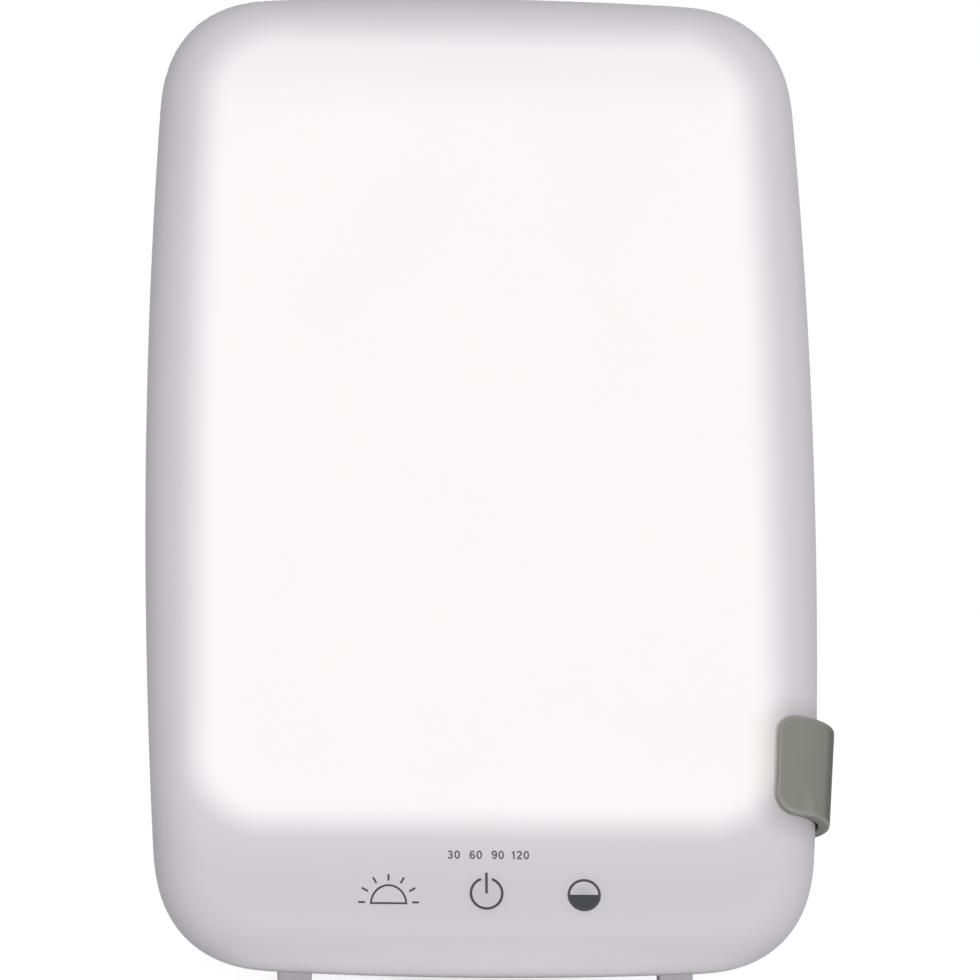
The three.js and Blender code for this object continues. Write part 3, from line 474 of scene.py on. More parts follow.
zincSteel = sheetMetal("zincPlatedSteel", "#B4B6BA", roughness=0.34, grain=0.5)
aluminiumSheet = sheetMetal("aluminiumSheet", "#BFC2C6", roughness=0.42, grain=1.2)
copperWire = sheetMetal("copperWinding", "#B9724A", roughness=0.38, grain=0.4)
print("materials ready")


# Front cover and rear housing

coverSet = {"round": 16.0, "depth": 17.0, "wall": 2.4, "rimSteps": 18, "seamRound": 0.3, "seamAngle": 60,
            "flatRing": 1.5}    # the ring that ends a rounded rim
rearSet = {"round": 13.0, "depth": 15.0, "wall": 2.4, "rimSteps": 14, "seam": 0.3}
outlineCounts = {"side": 14, "corner": 26, "end": 12}


def bowedPoint(x, z):
    s = outlineSet
    halfWidth, halfHeight = s["width"] / 2, s["height"] / 2
    return (x * (1 - s["sideBow"] / halfWidth * (z / halfHeight) ** 2),
            z * (1 - s["endBow"] / halfHeight * (x / halfWidth) ** 2))


def outlinePoints():
    s = outlineSet
    flatX, flatZ = s["width"] / 2 - s["corner"], s["height"] / 2 - s["corner"]
    quarter = [(s["width"] / 2, flatZ * i / outlineCounts["side"]) for i in range(outlineCounts["side"])]
    for i in range(outlineCounts["corner"]):
        angle = math.pi / 2 * i / outlineCounts["corner"]
        quarter.append((flatX + s["corner"] * math.cos(angle) ** (2 / s["power"]),
                        flatZ + s["corner"] * math.sin(angle) ** (2 / s["power"])))
    ends = outlineCounts["end"]
    quarter += [(flatX * (1 - i / ends), s["height"] / 2) for i in range(ends + 1)]
    upper = quarter + [(-x, z) for x, z in reversed(quarter[:-1])]
    full = upper + [(-x, -z) for x, z in upper[1:-1]]
    return [bowedPoint(x, z) for x, z in full]


def outlineFace(name, y, facing):
    # one face with the panel's outline; facing is -1 to the front and 1 to the back
    points = outlinePoints()
    deselectAll()
    bpy.ops.mesh.primitive_circle_add(vertices=len(points), fill_type="NGON", rotation=(math.pi / 2, 0, 0))
    piece = takeNew(name)
    for vertex, (x, z) in zip(piece.data.vertices, points):
        vertex.co = (x * mm, y * mm, z * mm)
    piece.data.update()
    if piece.data.polygons[0].normal.y * facing < 0:
        editFaces(piece, lambda face: True)
        bpy.ops.mesh.flip_normals()
        leaveEdit()
    return piece


def roundRim(piece, across, deep, start, steps):
    # insets the outline face ring by ring along a quarter ellipse
    editFaces(piece, lambda face: True)
    before = (across * (1 - math.cos(start)), deep * math.sin(start))
    for i in range(1, steps + 1):
        angle = start + (math.pi / 2 - start) * i / steps
        now = (across * (1 - math.cos(angle)), deep * math.sin(angle))
        bpy.ops.mesh.inset(thickness=(now[0] - before[0]) * mm, depth=(now[1] - before[1]) * mm,
                           use_even_offset=True, use_boundary=True)
        before = now
    bpy.ops.mesh.inset(thickness=coverSet["flatRing"] * mm, depth=0, use_even_offset=True)
    leaveEdit()


def fillBack(piece):
    # closes the open seam side, for a solid that others are trimmed against
    deselectAll()
    bpy.context.view_layer.objects.active = piece
    piece.select_set(True)
    bpy.ops.object.mode_set(mode="EDIT")
    bpy.ops.mesh.select_mode(type="EDGE")
    bpy.ops.mesh.select_all(action="DESELECT")
    bpy.ops.mesh.select_non_manifold()
    bpy.ops.mesh.edge_face_add()
    leaveEdit()


cover = outlineFace("opalCover", 0.0, -1)
roundRim(cover, coverSet["round"], coverSet["depth"], 0.0, coverSet["rimSteps"])
coverSolid = copyPiece(cover, "coverSolid")
fillBack(coverSolid)
applyModifier(cover, "SOLIDIFY", thickness=coverSet["wall"] * mm, offset=-1, use_even_offset=True)
roundEdges(cover, coverSet["seamRound"], 2, coverSet["seamAngle"])
smoothPiece(cover)
print("front cover modelled")

rearStart = math.asin(rearSet["seam"] / rearSet["depth"])
housing = outlineFace("rearHousing", rearSet["seam"], 1)
roundRim(housing, rearSet["round"], rearSet["depth"], rearStart, rearSet["rimSteps"])
housingSolid = copyPiece(housing, "housingSolid")
fillBack(housingSolid)
applyModifier(housing, "SOLIDIFY", thickness=rearSet["wall"] * mm, offset=-1, use_even_offset=True)
roundEdges(housing, coverSet["seamRound"], 2, coverSet["seamAngle"])
print("rear shell modelled")

# The band that carries the stand: its plan wraps the lamp's right edge
slotSet = {"left": -41.0, "floor": 10.5, "halfHeight": 17.2, "mouth": 14.4, "lip": 2.0, "wall": 2.4,
           "bedBack": 0.8, "mouthEnd": 4.0, "over": 10.0}    # over: how far its cutters pass the housing
bandSet = {"left": -38.0, "halfHeight": 16.8, "neck": 14.0, "flangeIn": 10.8, "flangeOut": 12.7, "back": 16.5,
           "armSink": 0.3, "armRound": 0.8, "voxel": 0.5, "softening": 14}
clipSet = {"inner": 1.2, "outer": 5.2, "slant": 0.077, "armStart": 92.0, "armOverlap": 5.5, "play": 0.4,
           "frontSteps": 24, "backSteps": 20}
tongueSet = {"tip": 95.85, "slant": 0.053, "highCorner": 5.5, "lowCorner": 7.0, "cornerSteps": 12,
             "cutLeft": 80.0, "cutDepth": 32.0, "over": 2.0}
liningSet = {"inner": 0.35, "outer": 0.9, "halfHeight": 14.6, "tipInset": 2.2, "backAngle": 8.0,
             "backSteps": 5, "round": 0.15, "sharp": 45}
slotZ = lampSet["slotHeight"]


def halfWidthAt(z):
    return bowedPoint(outlineSet["width"] / 2, z)[0]


def arcPoints(centre, acrossX, acrossY, first, last, steps):
    angles = [math.radians(first + (last - first) * i / steps) for i in range(steps + 1)]
    return [(centre + acrossX * math.cos(a), acrossY * math.sin(a)) for a in angles]


def wrapPlan(near, far, inside, outside):
    edge = halfWidthAt(slotZ)
    frontX, backX = edge - coverSet["round"], edge - rearSet["round"]
    coverDepth, start = coverSet["depth"], clipSet["armStart"]
    frontSteps, backSteps = clipSet["frontSteps"], clipSet["backSteps"]
    plan = [(start, outside)]
    plan += arcPoints(backX, rearSet["round"] + far, outside, 90, 0, backSteps)
    plan += arcPoints(frontX, coverSet["round"] + far, -(coverDepth + far), 0, 90, frontSteps)[1:]
    plan += [(start, -(coverDepth + far)), (start, -(coverDepth + near))]
    plan += arcPoints(frontX, coverSet["round"] + near, -(coverDepth + near), 90, 0, frontSteps)
    plan += arcPoints(backX, rearSet["round"] + near, inside, 0, 90, backSteps)[1:]
    return plan + [(start, inside)]


def raisePlan(name, plan, halfHeight):
    # the plan pulled up to the piece's height and slanted like the lamp's edge
    piece = addPrism(name, [(x, y, slotZ - halfHeight) for x, y in plan], (0, 0, 2 * halfHeight))
    slant = Matrix.Identity(4)
    slant[0][2] = clipSet["slant"]
    slant[0][3] = -clipSet["slant"] * slotZ * mm
    placePiece(piece, slant)
    return piece


def tongueCutter(tipX, halfHeight):
    # everything left of the tongue's slanted end, with its two round corners
    top, bottom = slotZ + halfHeight, slotZ - halfHeight

    def tipAt(z):
        return tipX + tongueSet["slant"] * (z - slotZ)

    high, low = tongueSet["highCorner"], tongueSet["lowCorner"]
    left, depth, over = tongueSet["cutLeft"], tongueSet["cutDepth"], tongueSet["over"]
    steps = tongueSet["cornerSteps"]
    angles = [math.pi / 2 * i / steps for i in range(steps + 1)]
    outlineLeft = [(left, top + over), (tipAt(top) + high, top + over)]
    for angle in angles:
        z = top - high * (1 - math.cos(angle))
        outlineLeft.append((tipAt(z) + high * (1 - math.sin(angle)), z))
    for angle in angles:
        z = bottom + low * (1 - math.sin(angle))
        outlineLeft.append((tipAt(z) + low * (1 - math.cos(angle)), z))
    outlineLeft += [(tipAt(bottom) + low, bottom - over), (left, bottom - over)]
    return addPrism("tongueCutter", [(x, -depth, z) for x, z in outlineLeft], (0, depth, 0))


bandPlan = wrapPlan(clipSet["inner"], clipSet["outer"], bandSet["flangeOut"], bandSet["back"])
band = raisePlan("standBand", bandPlan, bandSet["halfHeight"])
booleanWith(band, [tongueCutter(tongueSet["tip"], bandSet["halfHeight"])], "DIFFERENCE")
# even faces, so that the rim can soften
applyModifier(band, "REMESH", mode="VOXEL", voxel_size=bandSet["voxel"] * mm)
applyModifier(band, "SMOOTH", factor=0.5, iterations=bandSet["softening"])
print("clip modelled")

hingeSet = {"barrel": 5.0, "bore": 2.25, "boreReach": 40.0, "inner": 21.0, "outer": 33.0, "leg": 19.6,
            "webSink": 1.0, "webInset": 0.02, "pin": 2.0, "pinHalf": 34.0, "pinHead": 3.2, "headGap": 0.4,
            "headEnd": 2.0, "headRound": 0.6}
washerSet = {"radius": 4.6, "hole": 2.3, "inner": 19.9, "outer": 20.7, "round": 0.15}
hingeY = lampSet["hingeDepth"]
joinX = clipSet["armStart"] + clipSet["armOverlap"]
flange = addBlock("flange", (bandSet["left"], bandSet["flangeIn"], slotZ - bandSet["halfHeight"]),
                  (joinX, bandSet["flangeOut"], slotZ + bandSet["halfHeight"]))
arm = addBlock("arm", (bandSet["left"], bandSet["flangeIn"] + bandSet["armSink"], slotZ - bandSet["neck"]),
               (joinX, bandSet["back"], slotZ + bandSet["neck"]))
roundEdges(arm, bandSet["armRound"])
barrels = []
for side in (-1, 1):
    first, last = sorted((side * hingeSet["inner"], side * hingeSet["outer"]))
    barrels.append(addRod("barrel", hingeSet["barrel"], (first, hingeY, slotZ), (last, hingeY, slotZ), "x"))
    webHalf = hingeSet["barrel"] - hingeSet["webInset"]
    barrels.append(addBlock("web", (first, bandSet["back"] - hingeSet["webSink"], slotZ - webHalf),
                            (last, hingeY, slotZ + webHalf)))
booleanWith(band, [flange, arm, *barrels], "UNION")
boreEnd = hingeSet["boreReach"]
bore = addRod("bore", hingeSet["bore"], (-boreEnd, hingeY, slotZ), (boreEnd, hingeY, slotZ), "x")
booleanWith(band, [bore], "DIFFERENCE")
smoothPiece(band, angle=30)

liningPlan = []
edgeX = halfWidthAt(slotZ)
backReach = bandSet["flangeOut"] - clipSet["inner"]
for reach, first, last in ((liningSet["outer"], 0, 90), (liningSet["inner"], 90, 0)):
    front = arcPoints(edgeX - coverSet["round"], coverSet["round"] + reach, -(coverSet["depth"] + reach),
                      first, last, clipSet["frontSteps"])
    ends = (liningSet["backAngle"], 0) if first == 0 else (0, liningSet["backAngle"])
    rear = arcPoints(edgeX - rearSet["round"], rearSet["round"] + reach, backReach + reach, *ends,
                     liningSet["backSteps"])
    liningPlan += rear + front[1:] if first == 0 else front + rear[1:]
lining = raisePlan("clipLining", liningPlan, liningSet["halfHeight"])
liningTip = tongueCutter(tongueSet["tip"] + liningSet["tipInset"], liningSet["halfHeight"])
booleanWith(lining, [liningTip], "DIFFERENCE")
roundEdges(lining, liningSet["round"], 2, liningSet["sharp"])
smoothPiece(lining, angle=30)
print("band and lining modelled")

# Rear housing details: the band's bed and slot, vents, screw wells, label field and socket hole
ventSet = {"count": 11, "pitch": 9.0, "half": 1.3, "roundShare": 0.95, "roundSteps": 6, "deep": 6.0,
           "over": 2.0, "rows": [(100.0, 132.0), (-78.0, -56.0)]}
screwSet = {"head": 2.8, "headHeight": 1.9, "headRound": 0.7, "shank": 1.35, "shankSink": 0.3, "length": 12.6,
            "seat": 7.2, "play": 0.1, "hole": 1.65, "well": 3.2, "pad": 4.8, "padFront": 0.4, "padBack": 1.2,
            "crossHalf": 1.5, "crossWidth": 0.64, "crossDepth": 1.0, "turn": 37,    # degrees between two
            "places": [(92, 150), (97.5, 10), (88, -147)]}
labelSet = {"half": 34.0, "bottom": 14.0, "top": 58.0, "depth": 0.5, "corner": 3.0, "cornerSteps": 6,
            "near": 0.05}    # how close to the field's depth a face counts as its floor
socketSet = {"x": -60.0, "z": -146.0, "outer": 5.6, "bore": 1.9, "pin": 0.65, "depth": 9.0, "length": 14.0,
             "flange": 6.8, "flangeDepth": 1.3, "flangeRound": 0.3, "sunk": 0.2, "pinBack": 1.4, "play": 0.3,
             "seat": 1.6, "collar": 2.0, "collarDepth": 5.0, "collarBack": 1.2}
cutOver = 1.0    # how far a cutter runs past the face that it opens
backY = rearSet["depth"]
cheek = slotSet["halfHeight"] + slotSet["wall"]
screwPlaces = [(side * x, z) for x, z in screwSet["places"] for side in (-1, 1)]

bed = addBlock("bed", (slotSet["left"] - slotSet["wall"], slotSet["floor"] - slotSet["wall"], slotZ - cheek),
               (outlineSet["width"] / 2, backY - slotSet["bedBack"], slotZ + cheek))
booleanWith(bed, [copyPiece(housingSolid, "trim")], "INTERSECT")
grown = [bed]
for x, z in screwPlaces:
    grown.append(addRod("pad", screwSet["pad"], (x, screwSet["padFront"], z),
                        (x, backY - screwSet["padBack"], z), "y", vertices=40))
sx, sz = socketSet["x"], socketSet["z"]
grown.append(addRod("collar", socketSet["flange"] + socketSet["collar"],
                    (sx, backY - socketSet["collarDepth"], sz),
                    (sx, backY - socketSet["collarBack"], sz), "y"))
booleanWith(housing, grown, "UNION")

low, high = slotZ - slotSet["halfHeight"], slotZ + slotSet["halfHeight"]
right, outward = outlineSet["width"] / 2 + slotSet["over"], backY + slotSet["over"]
play = clipSet["play"]
nestPlan = wrapPlan(clipSet["inner"] - play, clipSet["outer"] + play, bandSet["flangeOut"] - play,
                    bandSet["back"] + play)
cutters = [
    addBlock("slot", (slotSet["left"], slotSet["floor"], low), (right, backY - slotSet["lip"], high)),
    addBlock("mouth", (slotSet["left"], slotSet["floor"], slotZ - slotSet["mouth"]),
             (right, outward, slotZ + slotSet["mouth"])),
    addBlock("mouthEnd", (clipSet["armStart"] + slotSet["mouthEnd"], slotSet["floor"], low),
             (right, outward, high)),
    raisePlan("nest", nestPlan, slotSet["halfHeight"]),
]
booleanWith(housing, cutters, "DIFFERENCE")
print("slot cut")


def ventCutter(x, bottom, top):
    # a vent slot with round ends, cut right through the back wall
    s = ventSet
    slot = addBlock("vent", (x - s["half"], backY - s["deep"], bottom),
                    (x + s["half"], backY + s["over"], top))
    applyModifier(slot, "BEVEL", width=s["half"] * s["roundShare"] * mm, segments=s["roundSteps"],
                  limit_method="ANGLE")
    return slot


vents = []
for bottom, top in ventSet["rows"]:
    for i in range(ventSet["count"]):
        vents.append(ventCutter((i - (ventSet["count"] - 1) / 2) * ventSet["pitch"], bottom, top))
booleanWith(housing, vents, "DIFFERENCE")
wells = []
behind = backY + cutOver
for x, z in screwPlaces:
    wells.append(addRod("hole", screwSet["hole"], (x, -cutOver, z), (x, behind, z), "y", vertices=24))
    wells.append(addRod("well", screwSet["well"], (x, screwSet["seat"], z), (x, behind, z), "y",
                        vertices=40))
corner = labelSet["corner"]
low, high = labelSet["bottom"] + corner, labelSet["top"] - corner
centres = [(labelSet["half"] - corner, high), (corner - labelSet["half"], high),
           (corner - labelSet["half"], low), (labelSet["half"] - corner, low)]
fieldOutline = []
fieldY = backY - labelSet["depth"]
for quarter, (x, z) in enumerate(centres):
    for step in range(labelSet["cornerSteps"] + 1):
        angle = math.radians(90 * (quarter + step / labelSet["cornerSteps"]))
        fieldOutline.append((x + corner * math.cos(angle), fieldY, z + corner * math.sin(angle)))
wells.append(addPrism("labelRecess", fieldOutline, (0, labelSet["depth"] + cutOver, 0)))
wells.append(addRod("socketHole", socketSet["outer"] + socketSet["play"], (sx, 0, sz), (sx, behind, sz),
                    "y", vertices=56))
wells.append(addRod("flangeHole", socketSet["flange"] + socketSet["play"],
                    (sx, backY - socketSet["seat"], sz), (sx, behind, sz), "y", vertices=56))
booleanWith(housing, wells, "DIFFERENCE")
smoothPiece(housing, angle=30)
print("housing details cut")

# Leg, hinge parts, feet, socket and screws
legSet = {"length": 107.0, "over": 6.0, "halfWidth": 32.0, "thickness": 5.0, "start": 7.5, "round": 0.7,
          "neckOver": 1.0, "recess": 0.9, "recessInset": 6.0, "recessWall": 0.6,
          "rib": 3.2, "ribWidth": 3.0, "ribInset": 1.2, "ribFrom": 16.0, "ribTo": 84.0, "ribSink": 0.3,
          "heel": 11.0, "heelGap": 0.3, "heelSink": 0.5, "heelRound": 0.5,
          "padThickness": 2.0, "padSeat": 0.3, "groundHalf": 80.0, "groundPast": 60.0}
hingePoint = panelMatrix @ hingeLocal
droop = math.asin(hingePoint.z / (legSet["length"] * mm))
tilt = droop - math.radians(lampSet["lean"])
half = legSet["thickness"] / 2
legPlate = addBlock("standLeg", (-legSet["halfWidth"], legSet["start"], -half),
                    (legSet["halfWidth"], legSet["length"] + legSet["over"], half))
for side in (-1, 1):
    editFaces(legPlate, lambda face: face.normal.z * side > facing)
    bpy.ops.mesh.inset(thickness=legSet["recessInset"] * mm, depth=0)
    bpy.ops.mesh.inset(thickness=legSet["recessWall"] * mm, depth=-legSet["recess"] * mm)
    leaveEdit()
roundEdges(legPlate, legSet["round"])
neck = addBlock("neck", (-hingeSet["leg"], 0, -half),
                (hingeSet["leg"], legSet["start"] + legSet["neckOver"], half))
ribs = []
for side in (-1, 1):
    outer = side * (legSet["halfWidth"] - legSet["ribInset"])
    first, last = sorted((outer, outer - side * legSet["ribWidth"]))
    rib = addBlock("rib", (first, legSet["ribFrom"], -half - legSet["rib"]),
                   (last, legSet["ribTo"], -legSet["ribSink"]))
    roundEdges(rib, legSet["round"])
    ribs.append(rib)
booleanWith(legPlate, [neck, *ribs], "UNION")
placePiece(legPlate, Matrix.Rotation(-tilt, 4, "X"))
heelFace = bandSet["back"] - hingeY + legSet["heelGap"]
heel = addBlock("heel", (-hingeSet["leg"], heelFace, -legSet["heel"]),
                (hingeSet["leg"], -legSet["heelSink"], 0))
roundEdges(heel, legSet["heelRound"])
legBarrel = addRod("legBarrel", hingeSet["barrel"], (-hingeSet["leg"], 0, 0), (hingeSet["leg"], 0, 0), "x")
booleanWith(legPlate, [heel, legBarrel], "UNION")
legBore = addRod("legBore", hingeSet["bore"], (-boreEnd, 0, 0), (boreEnd, 0, 0), "x")
booleanWith(legPlate, [legBore], "DIFFERENCE")
hingeMatrix = Matrix.Translation(hingePoint) @ leanMatrix
placePiece(legPlate, hingeMatrix)
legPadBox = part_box("leg_pad")
wide, past = legSet["groundHalf"], legSet["groundPast"]
ground = addBlock("ground", (-wide, legPadBox[0].y / mm - past, -past),
                  (wide, legPadBox[1].y / mm + past, legSet["padThickness"] + legSet["padSeat"]))
booleanWith(legPlate, [ground], "DIFFERENCE")
smoothPiece(legPlate, angle=30)
finishPiece(legPlate, "leg", legPlastic, ["stand_leg"])

padSet = {"ring": 1.2, "slope": 0.4, "hollow": 0.35, "round": 0.35}
padPiece = addBlock("legPad", [v / mm for v in legPadBox[0]], [v / mm for v in legPadBox[1]])
editFaces(padPiece, lambda face: face.normal.z < -facing)
bpy.ops.mesh.inset(thickness=padSet["ring"] * mm, depth=0)
bpy.ops.mesh.inset(thickness=padSet["slope"] * mm, depth=-padSet["hollow"] * mm)
leaveEdit()
roundEdges(padPiece, padSet["round"], 2)
smoothPiece(padPiece)
finishPiece(padPiece, "leg", padRubber, ["leg_pad"])

pinEnd = hingeSet["pinHalf"]
pin = addRod("hingePin", hingeSet["pin"], (-pinEnd, hingeY, slotZ), (pinEnd, hingeY, slotZ), "x")
heads = []
for side in (-1, 1):
    first, last = sorted(side * (hingeSet["outer"] + hingeSet[end]) for end in ("headGap", "headEnd"))
    head = addRod("pinHead", hingeSet["pinHead"], (first, hingeY, slotZ), (last, hingeY, slotZ), "x")
    roundEdges(head, hingeSet["headRound"])
    heads.append(head)
booleanWith(pin, heads, "UNION")
smoothPiece(pin)
placePiece(pin, panelMatrix)
finishPiece(pin, "band", zincSteel, ["hinge_pin"])
for side, word in ((-1, "Left"), (1, "Right")):
    first, last = sorted((side * washerSet["inner"], side * washerSet["outer"]))
    ring = addRod(f"hingeWasher{word}", washerSet["radius"], (first, hingeY, slotZ),
                  (last, hingeY, slotZ), "x")
    hole = addRod("washerHole", washerSet["hole"], (first - cutOver, hingeY, slotZ),
                  (last + cutOver, hingeY, slotZ), "x")
    booleanWith(ring, [hole], "DIFFERENCE")
    roundEdges(ring, washerSet["round"], 2)
    smoothPiece(ring)
    placePiece(ring, panelMatrix)
    finishPiece(ring, "band", blackNylon, [f"hinge_washer_{word.lower()}"])

footSet = {"half": 5.9, "round": 0.78, "height": 9.0, "narrow": 0.93}    # narrow is the sole's share of it
for word in ("left", "right"):
    low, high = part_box(f"foot_{word}")
    middle = (low.x + high.x) / 2 / mm
    pad = addBlock(f"foot{word.title()}", (middle - footSet["half"], low.y / mm, 0),
                   (middle + footSet["half"], high.y / mm, footSet["height"]))
    editFaces(pad, lambda face: face.normal.z < -facing)
    bpy.ops.transform.resize(value=(footSet["narrow"], footSet["narrow"], 1),
                             center_override=(middle * mm, (low.y + high.y) / 2, 0))
    leaveEdit()
    roundEdges(pad, footSet["round"], 4)
    for solid in (coverSolid, housingSolid):
        trim = copyPiece(solid, "trim")
        placePiece(trim, panelMatrix)
        booleanWith(pad, [trim], "DIFFERENCE")
    smoothPiece(pad, angle=30)
    finishPiece(pad, "panel", footPlastic, [f"foot_{word}"])

placePiece(cover, panelMatrix)
finishPiece(cover, "panel", opalPlastic, ["front_cover"])
placePiece(housing, panelMatrix)
finishPiece(housing, "panel", housingPlastic, ["rear_housing"])
housing.data.materials.append(fieldPlastic)    # for the floor of the bare label field
toPanel = panelMatrix.inverted()
for face in housing.data.polygons:
    spot = toPanel @ face.center / mm
    deep = abs(spot.y - fieldY) < labelSet["near"]
    if deep and abs(spot.x) < labelSet["half"] and labelSet["bottom"] < spot.z < labelSet["top"]:
        face.material_index = 1
placePiece(band, panelMatrix)
finishPiece(band, "band", greyPlastic, ["stand_band"])
placePiece(lining, panelMatrix)
finishPiece(lining, "band", liningFoam, ["clip_lining"])
for spare in (coverSolid, housingSolid):
    bpy.data.objects.remove(spare, do_unlink=True)

socketMouth = (sx, backY - socketSet["sunk"], sz)
socket = addRod("powerSocket", socketSet["outer"], (sx, backY - socketSet["length"], sz), socketMouth, "y")
rim = addRod("socketRim", socketSet["flange"], (sx, backY - socketSet["flangeDepth"], sz), socketMouth, "y",
             vertices=56)
roundEdges(rim, socketSet["flangeRound"], 2)
booleanWith(socket, [rim], "UNION")
bore = addRod("socketBore", socketSet["bore"], (sx, backY - socketSet["depth"], sz), (sx, behind, sz), "y")
booleanWith(socket, [bore], "DIFFERENCE")
contact = addRod("socketPin", socketSet["pin"], (sx, backY - socketSet["depth"] - cutOver, sz),
                 (sx, backY - socketSet["pinBack"], sz), "y", vertices=20)
booleanWith(socket, [contact], "UNION")
smoothPiece(socket)
placePiece(socket, panelMatrix)
finishPiece(socket, "panel", blackNylon, ["power_socket"])

under = screwSet["seat"] + screwSet["play"]
top = under + screwSet["headHeight"]
screwHead = addRod("screw", screwSet["head"], (0, under, 0), (0, top, 0), "y", vertices=40)
roundEdges(screwHead, screwSet["headRound"])
shank = addRod("shank", screwSet["shank"], (0, screwSet["seat"] + screwSet["shankSink"], 0),
               (0, under - screwSet["length"], 0), "y", vertices=24)
booleanWith(screwHead, [shank], "UNION")
crossBars = []
for wide, tall in ((screwSet["crossHalf"], screwSet["crossWidth"] / 2),
                   (screwSet["crossWidth"] / 2, screwSet["crossHalf"])):
    crossBars.append(addBlock("cross", (-wide, top - screwSet["crossDepth"], -tall),
                              (wide, top + cutOver, tall)))
booleanWith(screwHead, crossBars, "DIFFERENCE")
smoothPiece(screwHead)
for i, (x, z) in enumerate(screwPlaces):
    twin = copyPiece(screwHead, f"housingScrew{i + 1}")
    spin = Matrix.Rotation(math.radians(screwSet["turn"] * i), 4, "Y")
    placePiece(twin, panelMatrix @ Matrix.Translation((x * mm, 0, z * mm)) @ spin)
    finishPiece(twin, "panel", zincSteel, [f"housing_screw_{i + 1}"])
bpy.data.objects.remove(screwHead, do_unlink=True)
print("fixings modelled")

# Printed symbols and minutes on the control strip; the ink stands just proud of the cover
inkSet = {"front": -17.05, "back": -16.98, "ringSteps": 32, "ringOverlap": 4, "digitSteps": 28}
symbolSet = {
    "sunX": -32.65, "sunZ": -155.6, "dome": 6.1, "domeHeight": 6.75, "sunLine": 0.66,
    "rays": [(0, -147.6, 0, -145.45), (3.95, -148.5, 5.1, -146.5), (6.75, -151.25, 8.75, -150.05),
             (7.7, -154.95, 9.95, -154.95)],     # from the sun's middle line, mirrored
    "powerX": -0.58, "powerZ": -151.7, "powerRadius": 5.55, "powerLine": 0.84, "powerGap": 20,
    "barDown": 0.06, "barUp": 7.0,
    "halfX": 31.4, "halfZ": -152.1, "halfRadius": 5.47, "halfLine": 0.85, "halfRaised": 0.12,
    "domeSteps": 40, "powerSteps": 72, "halfSteps": 40,
}


def inkBar(x0, z0, x1, z1, width):
    length = math.dist((x0, z0), (x1, z1))
    bar = addBlock("inkBar", (-length / 2, inkSet["front"], -width / 2),
                   (length / 2, inkSet["back"], width / 2))
    angle = math.atan2(z1 - z0, x1 - x0)
    placePiece(bar, Matrix.Translation(((x0 + x1) / 2 * mm, 0, (z0 + z1) / 2 * mm))
               @ Matrix.Rotation(-angle, 4, "Y"))
    return bar


def inkArc(x, z, radii, width, first, last, steps):
    # a band bent along an ellipse's arc; radii are those of the middle of the line
    angles = [math.radians(first + (last - first) * k / steps) for k in range(steps + 1)]
    outline = []
    for side, turns in ((1, angles), (-1, angles[::-1])):
        wide, tall = (radius + side * width / 2 for radius in radii)
        outline += [(x + wide * math.cos(a), z + tall * math.sin(a)) for a in turns]
    return inkShape(outline)


def inkRing(x, z, radii, width):
    # two half bands that overlap a little
    turn = 180 + inkSet["ringOverlap"]
    return [inkArc(x, z, radii, width, first, first + turn, inkSet["ringSteps"]) for first in (0, 180)]


def inkShape(points):
    corners = [(x, inkSet["back"], z) for x, z in points]
    return addPrism("inkShape", corners, (0, inkSet["front"] - inkSet["back"], 0))


def finishInk(parts, name, material):
    piece = parts[0]
    if len(parts) > 1:
        booleanWith(piece, parts[1:], "UNION")
    piece.name = name
    piece.data.name = name
    placePiece(piece, panelMatrix)
    finishPiece(piece, "panel", material)


digitSet = {"height": 2.8, "line": 0.5, "stretch": 1.34, "wide": 2.25, "narrow": 1.8, "z": -138.62,
            "30": -13.3, "60": -6.05, "90": 1.15, "120": 7.6}    # x is where each number starts


def digitStrokes(digit, x, z):
    # plain sans-serif digits from arcs and bars, on a grid of the digit's height
    size, line = digitSet["height"], digitSet["line"]
    across = size * digitSet["stretch"]

    def arc(middle, up, wide, tall, first, last):
        return inkArc(x + middle * across, z + up * size, (wide * across, tall * size), line, first, last,
                      inkSet["digitSteps"])

    def bar(x0, z0, x1, z1):
        return inkBar(x + x0 * across, z + z0 * size, x + x1 * across, z + z1 * size, line)

    if digit == "0":
        return inkRing(x + 0.25 * across, z + 0.5 * size, (0.18 * across, 0.43 * size), line)
    if digit == "1":
        return [bar(0.24, 0.0, 0.24, 0.99), bar(0.06, 0.74, 0.26, 0.84)]
    if digit == "2":
        return [arc(0.24, 0.7, 0.175, 0.225, 175, -38), bar(0.385, 0.575, 0.09, 0.16),
                bar(0.03, 0.07, 0.46, 0.07), bar(0.1, 0.05, 0.12, 0.2)]
    if digit == "3":
        return [arc(0.23, 0.715, 0.155, 0.21, 165, -100), arc(0.23, 0.285, 0.175, 0.215, 100, -165)]
    middle = 0.3 if digit == "6" else 0.7
    strokes = inkRing(x + 0.25 * across, z + middle * size, (0.18 * across, 0.23 * size), line)
    if digit == "6":
        return strokes + [arc(0.25, 0.45, 0.185, 0.48, 190, 40)]
    return strokes + [arc(0.25, 0.55, 0.185, 0.48, 10, -140)]


for minutes in ("30", "60", "90", "120"):
    strokes, x = [], digitSet[minutes]
    for digit in minutes:
        strokes += digitStrokes(digit, x, digitSet["z"] - digitSet["height"] / 2)
        x += digitSet["narrow"] if digit == "1" else digitSet["wide"]
    finishInk(strokes, f"printedMinutes{minutes}", digitInk)

